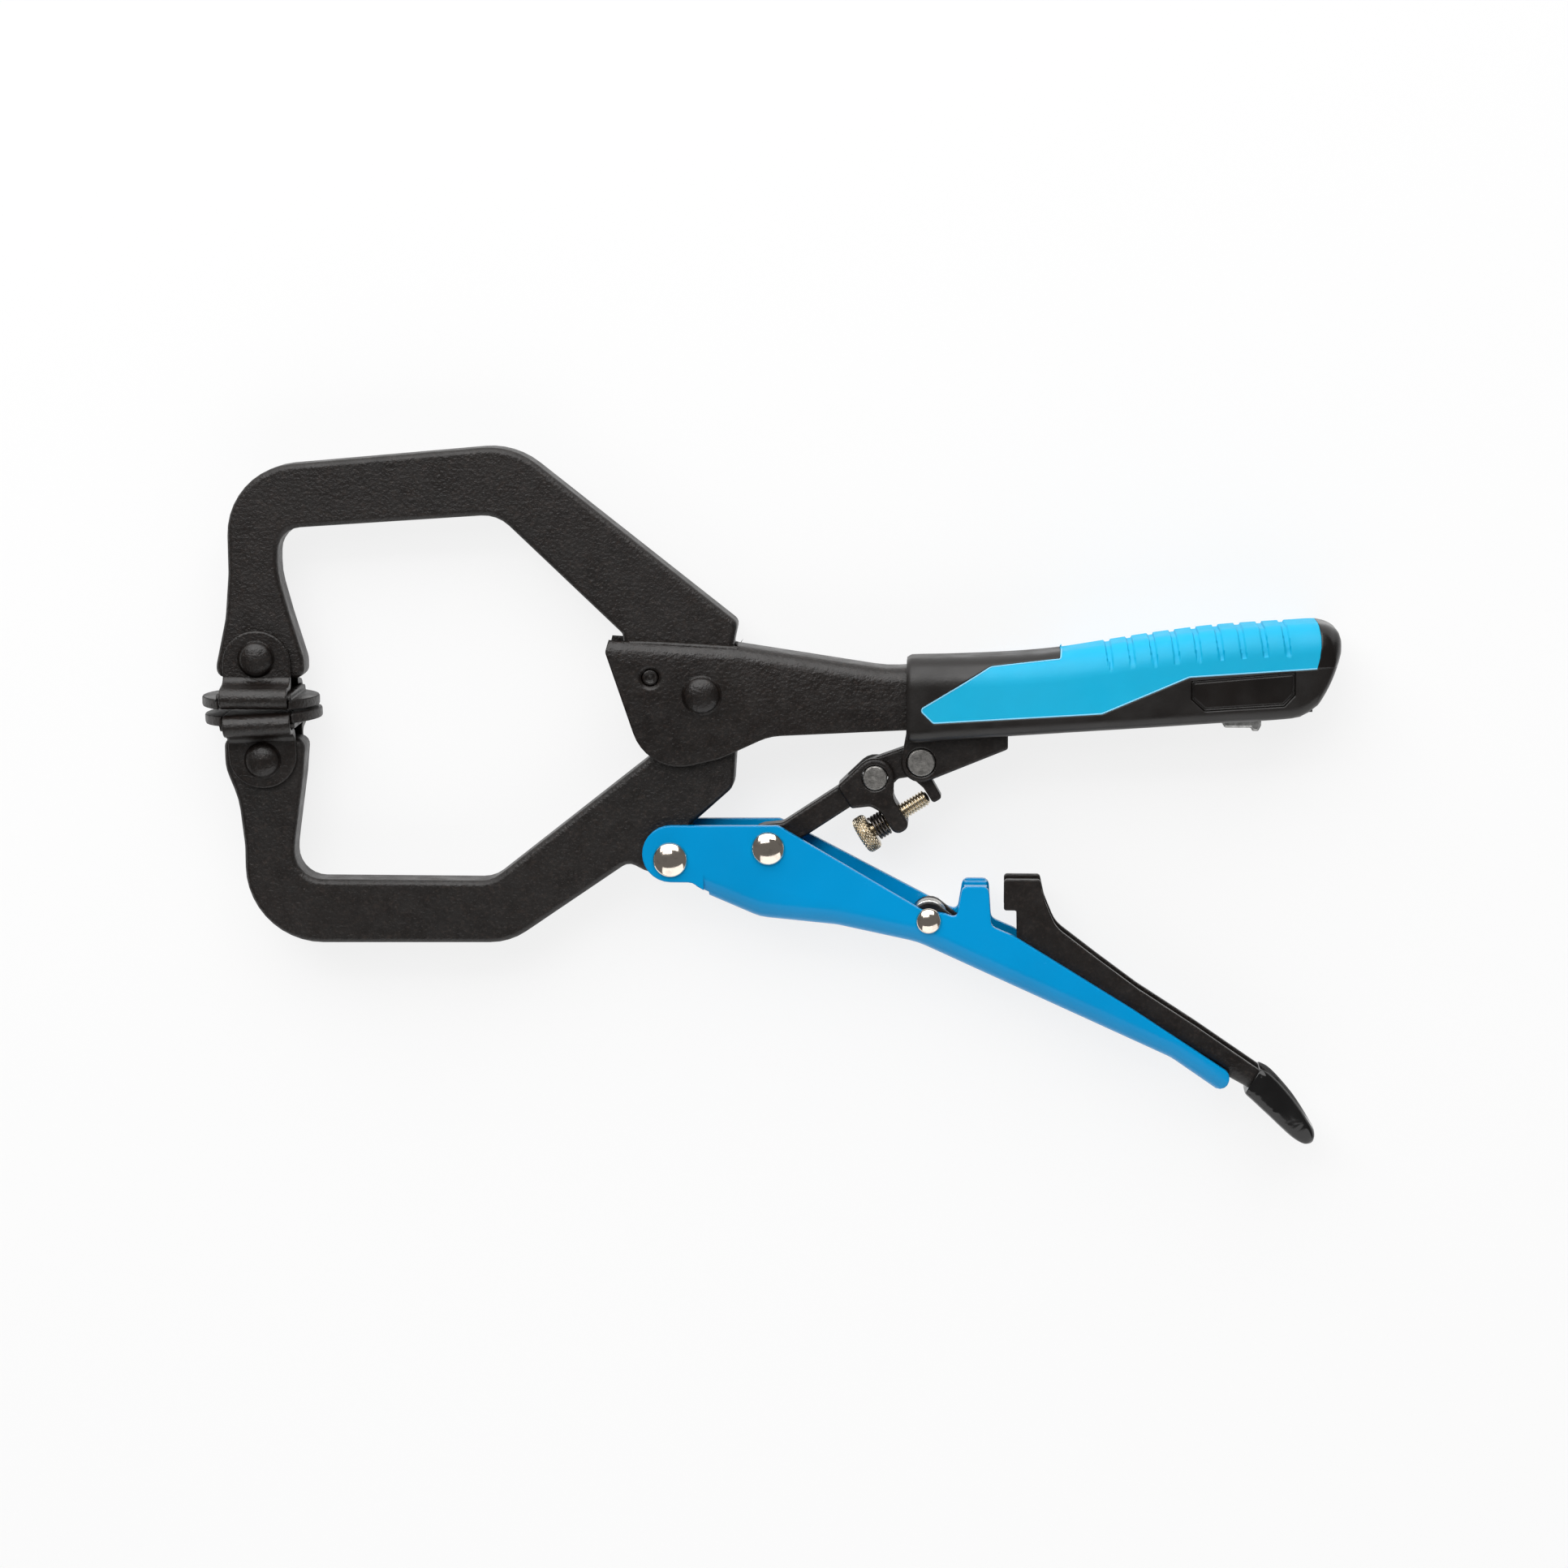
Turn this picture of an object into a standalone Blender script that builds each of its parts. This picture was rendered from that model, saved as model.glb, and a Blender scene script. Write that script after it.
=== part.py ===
"""Self-adjusting locking C-clamp pliers, as an assembly of separate parts.

The pliers lie on their side: +X runs from the jaws to the ends of the handles, +Y from the
lower handle to the upper one and +Z is the thickness. Outlines are in millimetres, measured
from the main pivot on the middle plane. The last step moves the whole assembly so that its
origin is the bottom centre of its box.
"""

import math

import bmesh
import bpy
from mathutils import Matrix, Vector

MM = 0.001

# Clearances
FIT_GAP = 0.3  # a piece seated on or in its neighbour
SEAT_GAP = 0.2  # under a rivet head or a washer
BORE_GAP = 0.2  # around a pin in its hole, on the radius
PLATE_PLAY = 0.35  # between a jaw plate and the folded sheet on each side
HEAD_PLAY = 0.6  # between a linkage head and the folded sheet on each side
LEVER_GAP = 0.4  # between the release lever and the lower handle

# Pivots, seen from the side; the main pivot is the origin
MAIN_PIVOT = Vector((0.0, 0.0))
HANDLE_PIVOT = Vector((-7.9, -40.8))
TOGGLE_PIVOT = Vector((16.2, -37.8))
FOLD_PIVOT = Vector((42.3, -20.5))
CAM_PIVOT = Vector((53.6, -16.6))
LEVER_PIVOT = Vector((55.7, -55.5))
JAW_ANCHOR = Vector((-12.7, 4.2))

# Jaws
PLATE_HALF = 4.75
PLATE_CHAMFER = 0.9
UPPER_PAD_X = -109.6
LOWER_PAD_X = UPPER_PAD_X + 1.2
UPPER_TIP = (-10.3, 11.5)  # edges of the upper jaw's tip from its rivet, along X
LOWER_TIP = (-9.9, 10.4)
UPPER_REACH = 60.7
LOWER_REACH = 63.0
ARM_WIDTH = 16.4
BOSS_RADIUS = 9.5
ROOT_RADIUS = 10.3
LUG_CENTRE = HANDLE_PIVOT + Vector((0.0, 1.2))
LUG_RADIUS = 6.9

# Swivel pads
PAD_RADIUS = 14.45
PAD_THICKNESS = 2.55
PAD_FACE = 12.0  # rivet to clamping face
PAD_EDGE = 0.3
UPPER_RIVET_Y = 8.2
LOWER_RIVET_Y = -16.9
LOWER_PAD_TILT = 2.9  # degrees
BRACKET_WIDTH = 16.7
STRIP = 1.3
ROLL_RADIUS = 2.1
ROLL_CENTRE = 10.0
EAR_TOP = 6.9
EAR_CORNER = 8.1

# Upper channel
CHEEK_INNER = PLATE_HALF + PLATE_PLAY
CHEEK_SHEET = 2.0
CHEEK_HALF = CHEEK_INNER + CHEEK_SHEET
CHEEK_BEND = 3.6
HANDLE_SLOPE = math.radians(3.0)
FOOT_START = (55.0, -8.0)  # on the cheeks' lower edge
WEB_START = (45.0, 6.5)  # on the top of the web
SLOT_END = 8.4

# Lower handle
HANDLE_INNER = PLATE_HALF + PLATE_PLAY
HANDLE_SHEET = 1.8
HANDLE_HALF = HANDLE_INNER + HANDLE_SHEET
HANDLE_BEND = 5.0
HANDLE_REAR = 130.0
HANDLE_EAR = 7.0
HANDLE_FLOOR = (52.9, -61.6)  # where its bottom edge turns down
HANDLE_FLOOR_SLOPE = math.radians(-24.4)
HANDLE_KNEE = 115.5  # where the handle and the lever turn down again
HANDLE_END_SLOPE = math.radians(-34.5)
HANDLE_WEB_FRONT = 1.5
TAB_TOP = -46.9
FLANGE_DEPTH = 2.9
NEAR_RELIEF = [(20.0, -33.0), (54.1, -52.9), (61.4, -54.0), (61.4, -50.0), (40.0, -36.0)]

# Release lever
LEVER_HALF = HANDLE_INNER - LEVER_GAP
LEVER_SHEET = 1.5
LEVER_BEND = 3.0
LEVER_TURN = HANDLE_REAR + 5.0  # where its bottom edge turns down to the tip
LEVER_FLOOR_LIFT = 3.0  # its bottom edge above the handle's, along Y
LEVER_KNEE_SLOPE = math.radians(-28.7)
LEVER_END_SLOPE = math.radians(-46.0)
LEVER_WEB_FRONT = 57.0
LEVER_BOSS = 4.3
LEVER_END = 12.0  # sheet beyond the turn
TIP_LENGTH = 20.8
TIP_WALL = 1.3

# Links and adjusting screw
BAR_HALF = 2.6
BAR_WIDTH = 5.8
HEAD_HALF = CHEEK_INNER - HEAD_PLAY
LINK_HALF = 2.4
LINK_RADIUS = 4.4
LINK_EYE = 4.6
LINK_PLAY = 1.6  # open pivot: the link's eye runs free around the cam pin
SLOT_HALF = LINK_HALF + FIT_GAP
SCREW_ANGLE = math.radians(32.3)
SCREW_OFFSET = 11.1
SCREW_RADIUS = 2.0
KNOB_RADIUS = HANDLE_INNER - PLATE_PLAY
KNOB_THICKNESS = 3.5
KNOB_START = -11.2
LEG_BACK = -3.4
LEG_FRONT = 1.0
LEG_END = 14.9
SCREW_TIP = 8.3
WIRE = 0.4
COIL_GAP = 0.15  # at each end of the adjuster's spring

# Locking cam
CAM_RADIUS = 4.9
CAM_LENGTH = 21.2

# Rivets and pins
SHANK = 3.5
MAIN_HEAD = 4.4
HANDLE_HEAD = 4.3
HANDLE_SHANK = 2.4
TOGGLE_HEAD = 4.1
TOGGLE_SHANK = 2.4
WASHER_RADIUS = 4.6
LEVER_HEAD = 3.1
LEVER_SHANK = 1.8
PAD_HEAD = 4.2
PAD_SHANK = 2.4
FOLD_PIN = 3.05
CAM_PIN = 3.45
EYE_PIN = 2.1  # the cam pin is necked inside the link
ANCHOR_PIN = 2.0
PIN_STAND = 0.2  # a pin beyond the head that it holds
PIN_EDGE = 0.3
DOME_HEIGHT = 1.9
DOME_RIM = 0.35
PIVOT_PLAY = 1.65  # open pivot: the lower jaw's bore runs free around the handle rivet
PIVOT_PLAY_SHIFT = Vector((-0.8, 0.1))

# Grip
GRIP_FRONT = 50.0
GRIP_REAR = 155.0
GRIP_HALF = CHEEK_HALF + 4.9
GRIP_FLOOR = (GRIP_FRONT, -11.3)
GRIP_FLOOR_SLOPE = math.radians(4.2)
GRIP_TOP_RADIUS = 6.5
GRIP_BOTTOM_RADIUS = 3.2
COVER_THICKNESS = 1.7
CAP_LENGTH = 6.0
CAP_FLOOR = 8.0
CAM_OPENING_REAR = 106.0
BADGE_DEPTH = 0.5
CHANNEL_REAR = GRIP_REAR - 6.6

# Springs
SPRING_RADIUS = 2.5
SPRING_WIRE = 0.5
SPRING_TURNS = 9
SPRING_START = (75.0, -3.2)
ANCHOR_FRONT = 126.5
ANCHOR_LENGTH = 9.9
ANCHOR_HALF = 3.6

EAR_INNER = PLATE_HALF + FIT_GAP
EAR_OUTER = EAR_INNER + STRIP
ROLL_INNER = ROLL_RADIUS - STRIP / 2
ARC_STEP = math.radians(22)  # the coarsest step of an arc
ARC_SAG = 0.05  # how far a chord may lie from its arc
SCREW_AXIS = Vector((math.cos(SCREW_ANGLE), math.sin(SCREW_ANGLE)))
LEG_AXIS = Vector((math.sin(SCREW_ANGLE), -math.cos(SCREW_ANGLE)))
LEVER_AHEAD = Vector((math.cos(LEVER_END_SLOPE), math.sin(LEVER_END_SLOPE)))
LEVER_UP = Vector((-LEVER_AHEAD.y, LEVER_AHEAD.x))
BEYOND = 60.0  # well outside the object


# Outlines


def arc_steps(radius, turn):
    """How many chords an arc takes."""
    finest = 2 * math.acos(1 - min(0.5, ARC_SAG / max(radius, ARC_SAG)))
    return max(2, math.ceil(abs(turn) / min(ARC_STEP, finest)))


def arc(centre, radius, start, end):
    """Points of an arc, from start to end in degrees."""
    sweep = math.radians(end - start)
    count = arc_steps(radius, sweep)
    angles = [math.radians(start) + sweep * i / count for i in range(count + 1)]
    return [(centre[0] + radius * math.cos(a), centre[1] + radius * math.sin(a)) for a in angles]


def sharp(points):
    """Points as corners without a radius."""
    return [(x, y, 0.0) for x, y in points]


def reaches(corners, closed):
    """How far each corner's fillet reaches along its edges, shared out where two meet."""
    count = len(corners)
    wanted = []
    for i, (x, y, radius) in enumerate(corners):
        corner = Vector((x, y))
        before = Vector(corners[i - 1][:2]) - corner
        after = Vector(corners[(i + 1) % count][:2]) - corner
        at_end = not closed and i in (0, count - 1)
        fillet = 0.0 if at_end or radius == 0.0 else radius / math.tan(before.angle(after) / 2)
        wanted.append((fillet, before.length, after.length))
    allowed = []
    for i, (reach, before, after) in enumerate(wanted):
        share = 1.0
        for other, length in ((wanted[i - 1][0], before), (wanted[(i + 1) % count][0], after)):
            if reach + other > 0.98 * length:
                share = min(share, 0.98 * length / (reach + other))
        allowed.append(reach * share)
    return allowed


def rounded(corners, closed=True):
    """The outline through (x, y, radius) corners, with each corner filleted by its radius."""
    points = []
    count = len(corners)
    for i, reach in enumerate(reaches(corners, closed)):
        x, y, radius = corners[i]
        corner = Vector((x, y))
        if reach == 0.0:
            points.append((x, y))
            continue
        before = Vector(corners[i - 1][:2]) - corner
        after = Vector(corners[(i + 1) % count][:2]) - corner
        half = before.angle(after) / 2
        radius = reach * math.tan(half)
        centre = corner + (before.normalized() + after.normalized()).normalized() * (
            radius / math.sin(half)
        )
        start = corner + before.normalized() * reach - centre
        end = corner + after.normalized() * reach - centre
        turn = math.atan2(start.cross(end), start.dot(end))
        steps = arc_steps(radius, turn)
        for k in range(steps + 1):
            point = centre + Matrix.Rotation(turn * k / steps, 2) @ start
            points.append((point.x, point.y))
    return points


def anticlockwise(outline):
    """The outline, turned so that it runs anticlockwise."""
    pairs = zip(outline, outline[1:] + outline[:1])
    area = sum(a[0] * b[1] - b[0] * a[1] for a, b in pairs)
    return outline if area > 0 else outline[::-1]


def inset(outline, distance):
    """An anticlockwise outline moved inwards by a distance."""
    moved = []
    for i, point in enumerate(outline):
        here = Vector(point)
        back = (here - Vector(outline[i - 1])).normalized()
        ahead = (Vector(outline[(i + 1) % len(outline)]) - here).normalized()
        normal = (Vector((-back.y, back.x)) + Vector((-ahead.y, ahead.x))).normalized()
        scale = distance / max(0.3, normal.dot(Vector((-back.y, back.x))))
        moved.append(tuple(here + normal * scale))
    return moved


def shifted(path, distance, extension):
    """An open path moved to its left, with both ends drawn out along the path."""
    normals = []
    for i in range(len(path)):
        ahead = Vector(path[min(i + 1, len(path) - 1)]) - Vector(path[max(i, 1) - 1])
        normals.append(Vector((-ahead.y, ahead.x)).normalized())
    moved = [Vector(p) + n * distance for p, n in zip(path, normals)]
    first = moved[0] + (moved[0] - moved[1]).normalized() * extension
    last = moved[-1] + (moved[-1] - moved[-2]).normalized() * extension
    return [tuple(p) for p in [first, *moved, last]]


def along(start, slope, x):
    """The height at x of a line through start."""
    return start[1] + math.tan(slope) * (x - start[0])


# Solids: each function returns an object in millimetres


def solid(vertices, faces):
    mesh = bpy.data.meshes.new("solid")
    mesh.from_pydata([tuple(v) for v in vertices], [], faces)
    shape = bpy.data.objects.new("solid", mesh)
    bpy.context.scene.collection.objects.link(shape)
    work = bmesh.new()
    work.from_mesh(mesh)
    bmesh.ops.recalc_face_normals(work, faces=work.faces)
    work.to_mesh(mesh)
    work.free()
    return shape


def loft(rings):
    """A closed body through rings with equal numbers of points."""
    size = len(rings[0])
    vertices = [point for ring in rings for point in ring]
    faces = [list(range(size))[::-1]]
    for k in range(len(rings) - 1):
        for i in range(size):
            a = k * size + i
            b = k * size + (i + 1) % size
            faces.append([a, b, b + size, a + size])
    faces.append([(len(rings) - 1) * size + i for i in range(size)])
    return solid(vertices, faces)


def plate(outline, low, high, chamfer=0.0):
    """An outline extruded along Z, with its long edges chamfered."""
    outline = anticlockwise(outline)
    if chamfer == 0.0:
        return loft([[(x, y, z) for x, y in outline] for z in (low, high)])
    small = inset(outline, chamfer)
    layers = [(small, low), (outline, low + chamfer), (outline, high - chamfer), (small, high)]
    return loft([[(x, y, z) for x, y in ring] for ring, z in layers])


def turning(profile, centre, axis, sides=20):
    """A body turned about an axis from (radius, height) points."""
    across = Vector(axis).normalized().to_track_quat("Z", "Y").to_matrix()
    rings = []
    for radius, height in profile:
        ring = []
        for i in range(sides):
            angle = 2 * math.pi * i / sides
            local = Vector((radius * math.cos(angle), radius * math.sin(angle), height))
            ring.append(tuple(across @ local + Vector(centre)))
        rings.append(ring)
    return loft(rings)


def cylinder(centre, radius, low, high, sides=20):
    """A cylinder along Z about a point of the side view."""
    return turning([(radius, low), (radius, high)], (centre[0], centre[1], 0), (0, 0, 1), sides)


def box(low, high):
    corners = [(low[0], low[1]), (high[0], low[1]), (high[0], high[1]), (low[0], high[1])]
    return plate(corners, low[2], high[2])


def tube(path, radius, sides=5):
    """A round wire along a path."""
    rings = []
    side = None
    for i, point in enumerate(path):
        ahead = Vector(path[min(i + 1, len(path) - 1)]) - Vector(path[max(i, 1) - 1])
        ahead.normalize()
        if side is None:
            side = ahead.orthogonal()
        side = (side - ahead * side.dot(ahead)).normalized()
        other = ahead.cross(side)
        angles = [2 * math.pi * k / sides for k in range(sides)]
        ring = [
            tuple(Vector(point) + (side * math.cos(a) + other * math.sin(a)) * radius)
            for a in angles
        ]
        rings.append(ring)
    return loft(rings)


def combine(target, operation, others):
    """Applies exact booleans to the target and removes the other solids."""
    for other in others:
        modifier = target.modifiers.new("boolean", "BOOLEAN")
        modifier.operation = operation
        modifier.solver = "EXACT"
        modifier.object = other
        evaluated = target.evaluated_get(bpy.context.evaluated_depsgraph_get())
        mesh = bpy.data.meshes.new_from_object(evaluated)
        target.modifiers.clear()
        target.data = mesh
        bpy.data.objects.remove(other)
    return target


def cut(target, *others):
    return combine(target, "DIFFERENCE", others)


def join(target, *others):
    return combine(target, "UNION", others)


def clip(target, *others):
    return combine(target, "INTERSECT", others)


def bent(path, far, half_width, bend, offset=0.0, extension=15.0):
    """The full body under a bent sheet: a path rolled over to both sides, closed at far points."""
    layers = []
    angles = [math.pi / 2 * k / 5 for k in range(6)]
    for angle in angles[::-1]:
        layers.append((-(half_width - bend + bend * math.sin(angle)), bend * (1 - math.cos(angle))))
    for angle in angles:
        layers.append((half_width - bend + bend * math.sin(angle), bend * (1 - math.cos(angle))))
    return loft(
        [
            [(x, y, z) for x, y in shifted(path, offset + drop, extension) + far]
            for z, drop in layers
        ]
    )


def rivet(centre, head, shank, seat):
    """A rivet through the thickness, domed at both ends, its heads on the planes z = +-seat."""
    under = seat + SEAT_GAP
    dome = [
        (head * math.cos(a), under + DOME_RIM + (DOME_HEIGHT - DOME_RIM) * math.sin(a))
        for a in (math.radians(d) for d in (0, 30, 60, 85))
    ]
    upper = [(shank, under), (head, under), *dome]
    lower = [(r, -z) for r, z in upper[::-1]]
    return turning(lower + upper, (centre[0], centre[1], 0), (0, 0, 1), 18)


def pin(centre, radius, half):
    """A plain pin through the thickness with chamfered ends."""
    edge = PIN_EDGE
    profile = [(radius - edge, -half), (radius, edge - half), (radius, half - edge)]
    profile.append((radius - edge, half))
    return turning(profile, (centre[0], centre[1], 0), (0, 0, 1))


def bore(centre, radius, half=30.0):
    return cylinder(centre, radius + BORE_GAP, -half, half)


# Bodies, materials and nodes

BODIES = {}
BOX_LOW = Vector((1e9, 1e9, 1e9))
BOX_HIGH = -BOX_LOW


def add_body(name, pivot, parent=None):
    """An empty on a joint's axis, which carries the pieces of one moving body."""
    holder = bpy.data.objects.new(name + "_body", None)
    bpy.context.scene.collection.objects.link(holder)
    holder.empty_display_size = 5 * MM
    place = Vector((pivot[0], pivot[1], pivot[2] if len(pivot) > 2 else 0.0))
    if parent:
        above, above_place = BODIES[parent]
        holder.parent = above
        holder.location = (place - above_place) * MM
    BODIES[name] = (holder, place)


def paint(name, colour, roughness, metallic=0.0):
    material = bpy.data.materials.new(name)
    material.use_nodes = True
    shader = material.node_tree.nodes["Principled BSDF"]
    shader.inputs["Base Color"].default_value = (*colour, 1.0)
    shader.inputs["Roughness"].default_value = roughness
    shader.inputs["Metallic"].default_value = metallic
    material.diffuse_color = (*colour, 1.0)
    return material


def node(name, shape, material, body):
    """Names a finished solid, turns it into metres and hangs it on its body."""
    holder, pivot = BODIES[body]
    for vertex in shape.data.vertices:
        for axis in range(3):
            BOX_LOW[axis] = min(BOX_LOW[axis], vertex.co[axis])
            BOX_HIGH[axis] = max(BOX_HIGH[axis], vertex.co[axis])
    shape.data.transform(Matrix.Translation(-pivot))
    shape.data.transform(Matrix.Scale(MM, 4))
    shape.data.materials.clear()
    shape.data.materials.append(material)
    shape.data.shade_smooth()
    shape.data.set_sharp_from_angle(angle=math.radians(35))
    shape.name = name
    shape.data.name = name
    shape.parent = holder


# Jaws


def upper_jaw():
    left = UPPER_PAD_X + UPPER_TIP[0]
    right = UPPER_PAD_X + UPPER_TIP[1]
    tip = UPPER_RIVET_Y - 4.9
    top = UPPER_REACH
    throat = UPPER_REACH - ARM_WIDTH
    corners = [
        (left, tip, 2.2),
        (right, tip, 2.2),
        (right, tip + 4.5, 6.0),
        (right - 3.5, tip + 16.0, 20.0),
        (right - 6.2, tip + 26.0, 20.0),
        (right - 6.0, throat - 4.3, 6.0),
        (-50.1, throat - 0.6, 9.0),
        (-19.6, 14.7, 0.0),
        (-18.6, 7.0, 2.0),
        (-16.4, -0.7, 2.5),
        *sharp(arc(MAIN_PIVOT, ROOT_RADIUS, 184, 40)),
        (SLOT_END - 0.7, 12.8, 2.0),
        (SLOT_END + 0.3, 17.6, 2.0),
        (-46.1, top, 19.0),
        (left + 3.2, top - 6.3, 17.5),
        (left + 3.4, tip + 25.7, 20.0),
        (left + 2.5, tip + 14.7, 20.0),
        (left, tip + 3.2, 4.0),
    ]
    shape = plate(rounded(corners), -PLATE_HALF, PLATE_HALF, PLATE_CHAMFER)
    return cut(shape, bore(JAW_ANCHOR, ANCHOR_PIN), bore((UPPER_PAD_X, UPPER_RIVET_Y), PAD_SHANK))


def lower_jaw():
    left = LOWER_PAD_X + LOWER_TIP[0]
    right = LOWER_PAD_X + LOWER_TIP[1]
    tip = LOWER_RIVET_Y + 5.3
    bottom = -LOWER_REACH
    throat = bottom + ARM_WIDTH - 0.3
    lug = LUG_CENTRE
    corners = [
        (left, tip, 2.2),
        (left + 0.1, tip - 7.5, 12.0),
        (left + 3.3, tip - 15.5, 20.0),
        (left + 4.6, tip - 27.0, 20.0),
        (left + 4.7, bottom, 19.0),
        (-48.0, bottom + 0.6, 16.0),
        (lug.x - 10.5, lug.y - 2.4, 3.0),
        (lug.x - 6.6, lug.y - 4.4, 1.0),
        *sharp(arc(lug, LUG_RADIUS, 225, 350)),
        (lug.x + 4.8, lug.y + 7.0, 2.0),
        (7.6, -23.0, 4.0),
        *sharp(arc(MAIN_PIVOT, BOSS_RADIUS, -20, 195)),
        (-12.3, -15.2, 6.0),
        (-52.3, throat, 8.0),
        (right - 3.3, throat, 7.0),
        (right - 3.3, tip - 27.0, 20.0),
        (right - 0.8, tip - 9.0, 12.0),
        (right, tip, 2.4),
    ]
    shape = plate(rounded(corners), -PLATE_HALF, PLATE_HALF, PLATE_CHAMFER)
    return cut(
        shape,
        bore(MAIN_PIVOT, SHANK),
        bore(HANDLE_PIVOT + PIVOT_PLAY_SHIFT, HANDLE_SHANK + PIVOT_PLAY),
        bore((LOWER_PAD_X, LOWER_RIVET_Y), PAD_SHANK),
    )


# Swivel pads, built for a rivet at the origin with the clamping face at y = -PAD_FACE


def pad_disc():
    face = -PAD_FACE
    band_middle = face + STRIP / 2 + ROLL_RADIUS
    band_half = ROLL_INNER - FIT_GAP
    channel = BRACKET_WIDTH / 2 + FIT_GAP
    disc = turning(
        [
            (PAD_RADIUS - PAD_EDGE, face),
            (PAD_RADIUS, face + PAD_EDGE),
            (PAD_RADIUS, face + PAD_THICKNESS - PAD_EDGE),
            (PAD_RADIUS - PAD_EDGE, face + PAD_THICKNESS),
        ],
        (0, 0, 0),
        (0, 1, 0),
        36,
    )
    disc = cut(disc, box((-channel, face - 5, -30), (channel, face + 10, 30)))
    ends = arc((ROLL_CENTRE, band_middle), band_half, -90, 90)
    ends += arc((-ROLL_CENTRE, band_middle), band_half, 90, 270)
    band = loft([[(x, y, z) for z, y in ends] for x in (-channel - 0.6, channel + 0.6)])
    return join(disc, band)


def pad_bracket():
    face = -PAD_FACE
    middle = face + STRIP / 2 + ROLL_RADIUS
    run = face + STRIP / 2
    ear = (EAR_INNER + EAR_OUTER) / 2
    roll = arc((ROLL_CENTRE, middle), ROLL_RADIUS, -90, 90)
    flare = middle + ROLL_RADIUS
    half = rounded(
        [(0.0, run, 0.0), *sharp(roll), (ear, flare, 1.3), (ear, EAR_TOP + 2, 0.0)], closed=False
    )
    path = [(-z, y) for z, y in half[:0:-1]] + half
    outer = shifted(path, STRIP / 2, 0.0)[1:-1]
    inner = shifted(path, -STRIP / 2, 0.0)[1:-1]
    section = anticlockwise(outer + inner[::-1])
    wide = BRACKET_WIDTH / 2 + 2
    strip = loft([[(x, y, z) for z, y in section] for x in (-wide, wide)])
    edge = BRACKET_WIDTH / 2
    outline = rounded(
        [
            (-edge, face - 5, 0.0),
            (edge, face - 5, 0.0),
            (edge, EAR_TOP, EAR_CORNER),
            (-edge, EAR_TOP, EAR_CORNER),
        ]
    )
    return cut(clip(strip, plate(outline, -30, 30)), bore((0, 0), PAD_SHANK))


def place_pad(shape, centre, tilt, flipped):
    """Moves a pad piece from the origin to its jaw, turned over for the lower jaw."""
    turn = Matrix.Rotation(math.pi if flipped else 0.0, 4, "Z")
    lean = Matrix.Rotation(math.radians(tilt), 4, "Z")
    shape.data.transform(Matrix.Translation((centre[0], centre[1], 0)) @ lean @ turn)
    return shape


# Upper channel

def channel_path():
    """The top of the channel's web, from the rear to the nose."""
    return rounded(
        [
            (CHANNEL_REAR + 4, along(WEB_START, HANDLE_SLOPE, CHANNEL_REAR + 4), 0.0),
            (*WEB_START, 30.0),
            (8.0, 12.1, 20.0),
            (-24.5, 13.8, 0.0),
        ],
        closed=False,
    )


def channel_outline(rear):
    """The free edges of the channel: nose, cheeks and lower edges."""
    return rounded(
        [
            (-22.9, 30.0, 0.0),
            (-22.9, 13.2, 1.0),
            (-23.6, 10.4, 1.5),
            (-13.3, -19.8, 12.0),
            (4.5, -15.6, 14.0),
            (16.5, along(FOOT_START, HANDLE_SLOPE, 16.5), 14.0),
            (rear, along(FOOT_START, HANDLE_SLOPE, rear), 0.0),
            (rear, 60.0, 0.0),
        ]
    )


def channel_body(offset, half_width, bend):
    far = [(-60.0, -60.0), (CHANNEL_REAR + 40, -60.0)]
    return bent(channel_path(), far, half_width, bend, offset)


def upper_channel():
    shape = clip(
        channel_body(0.0, CHEEK_HALF, CHEEK_BEND),
        plate(channel_outline(CHANNEL_REAR), -CHEEK_HALF - 1, CHEEK_HALF + 1),
    )
    cut(shape, channel_body(CHEEK_SHEET, CHEEK_INNER, CHEEK_BEND - CHEEK_SHEET))
    cut(shape, box((-40, 5, -CHEEK_INNER), (SLOT_END, 30, CHEEK_INNER)))
    dish = [(ANCHOR_PIN + 0.2, 0.0), (ANCHOR_PIN + 0.2, CHEEK_HALF - 0.7)]
    dish.append((ANCHOR_PIN + 1.4, CHEEK_HALF + 0.5))
    for side in (1, -1):
        cut(shape, turning(dish, (*JAW_ANCHOR, 0), (0, 0, side)))
    return cut(shape, bore(MAIN_PIVOT, SHANK))


# Lower handle

def handle_knee():
    """Where the lower handle's bottom edge turns down for the second time."""
    return (HANDLE_KNEE, along(HANDLE_FLOOR, HANDLE_FLOOR_SLOPE, HANDLE_KNEE))


def handle_path():
    """The bottom of the lower handle's web, from the front to the rear."""
    return rounded(
        [
            (HANDLE_WEB_FRONT - 3, -49.0, 0.0),
            (14.0, -55.6, 12.0),
            (33.0, -57.4, 20.0),
            (*HANDLE_FLOOR, 20.0),
            (*handle_knee(), 14.0),
            (HANDLE_REAR, along(handle_knee(), HANDLE_END_SLOPE, HANDLE_REAR), 0.0),
        ],
        closed=False,
    )


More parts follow.
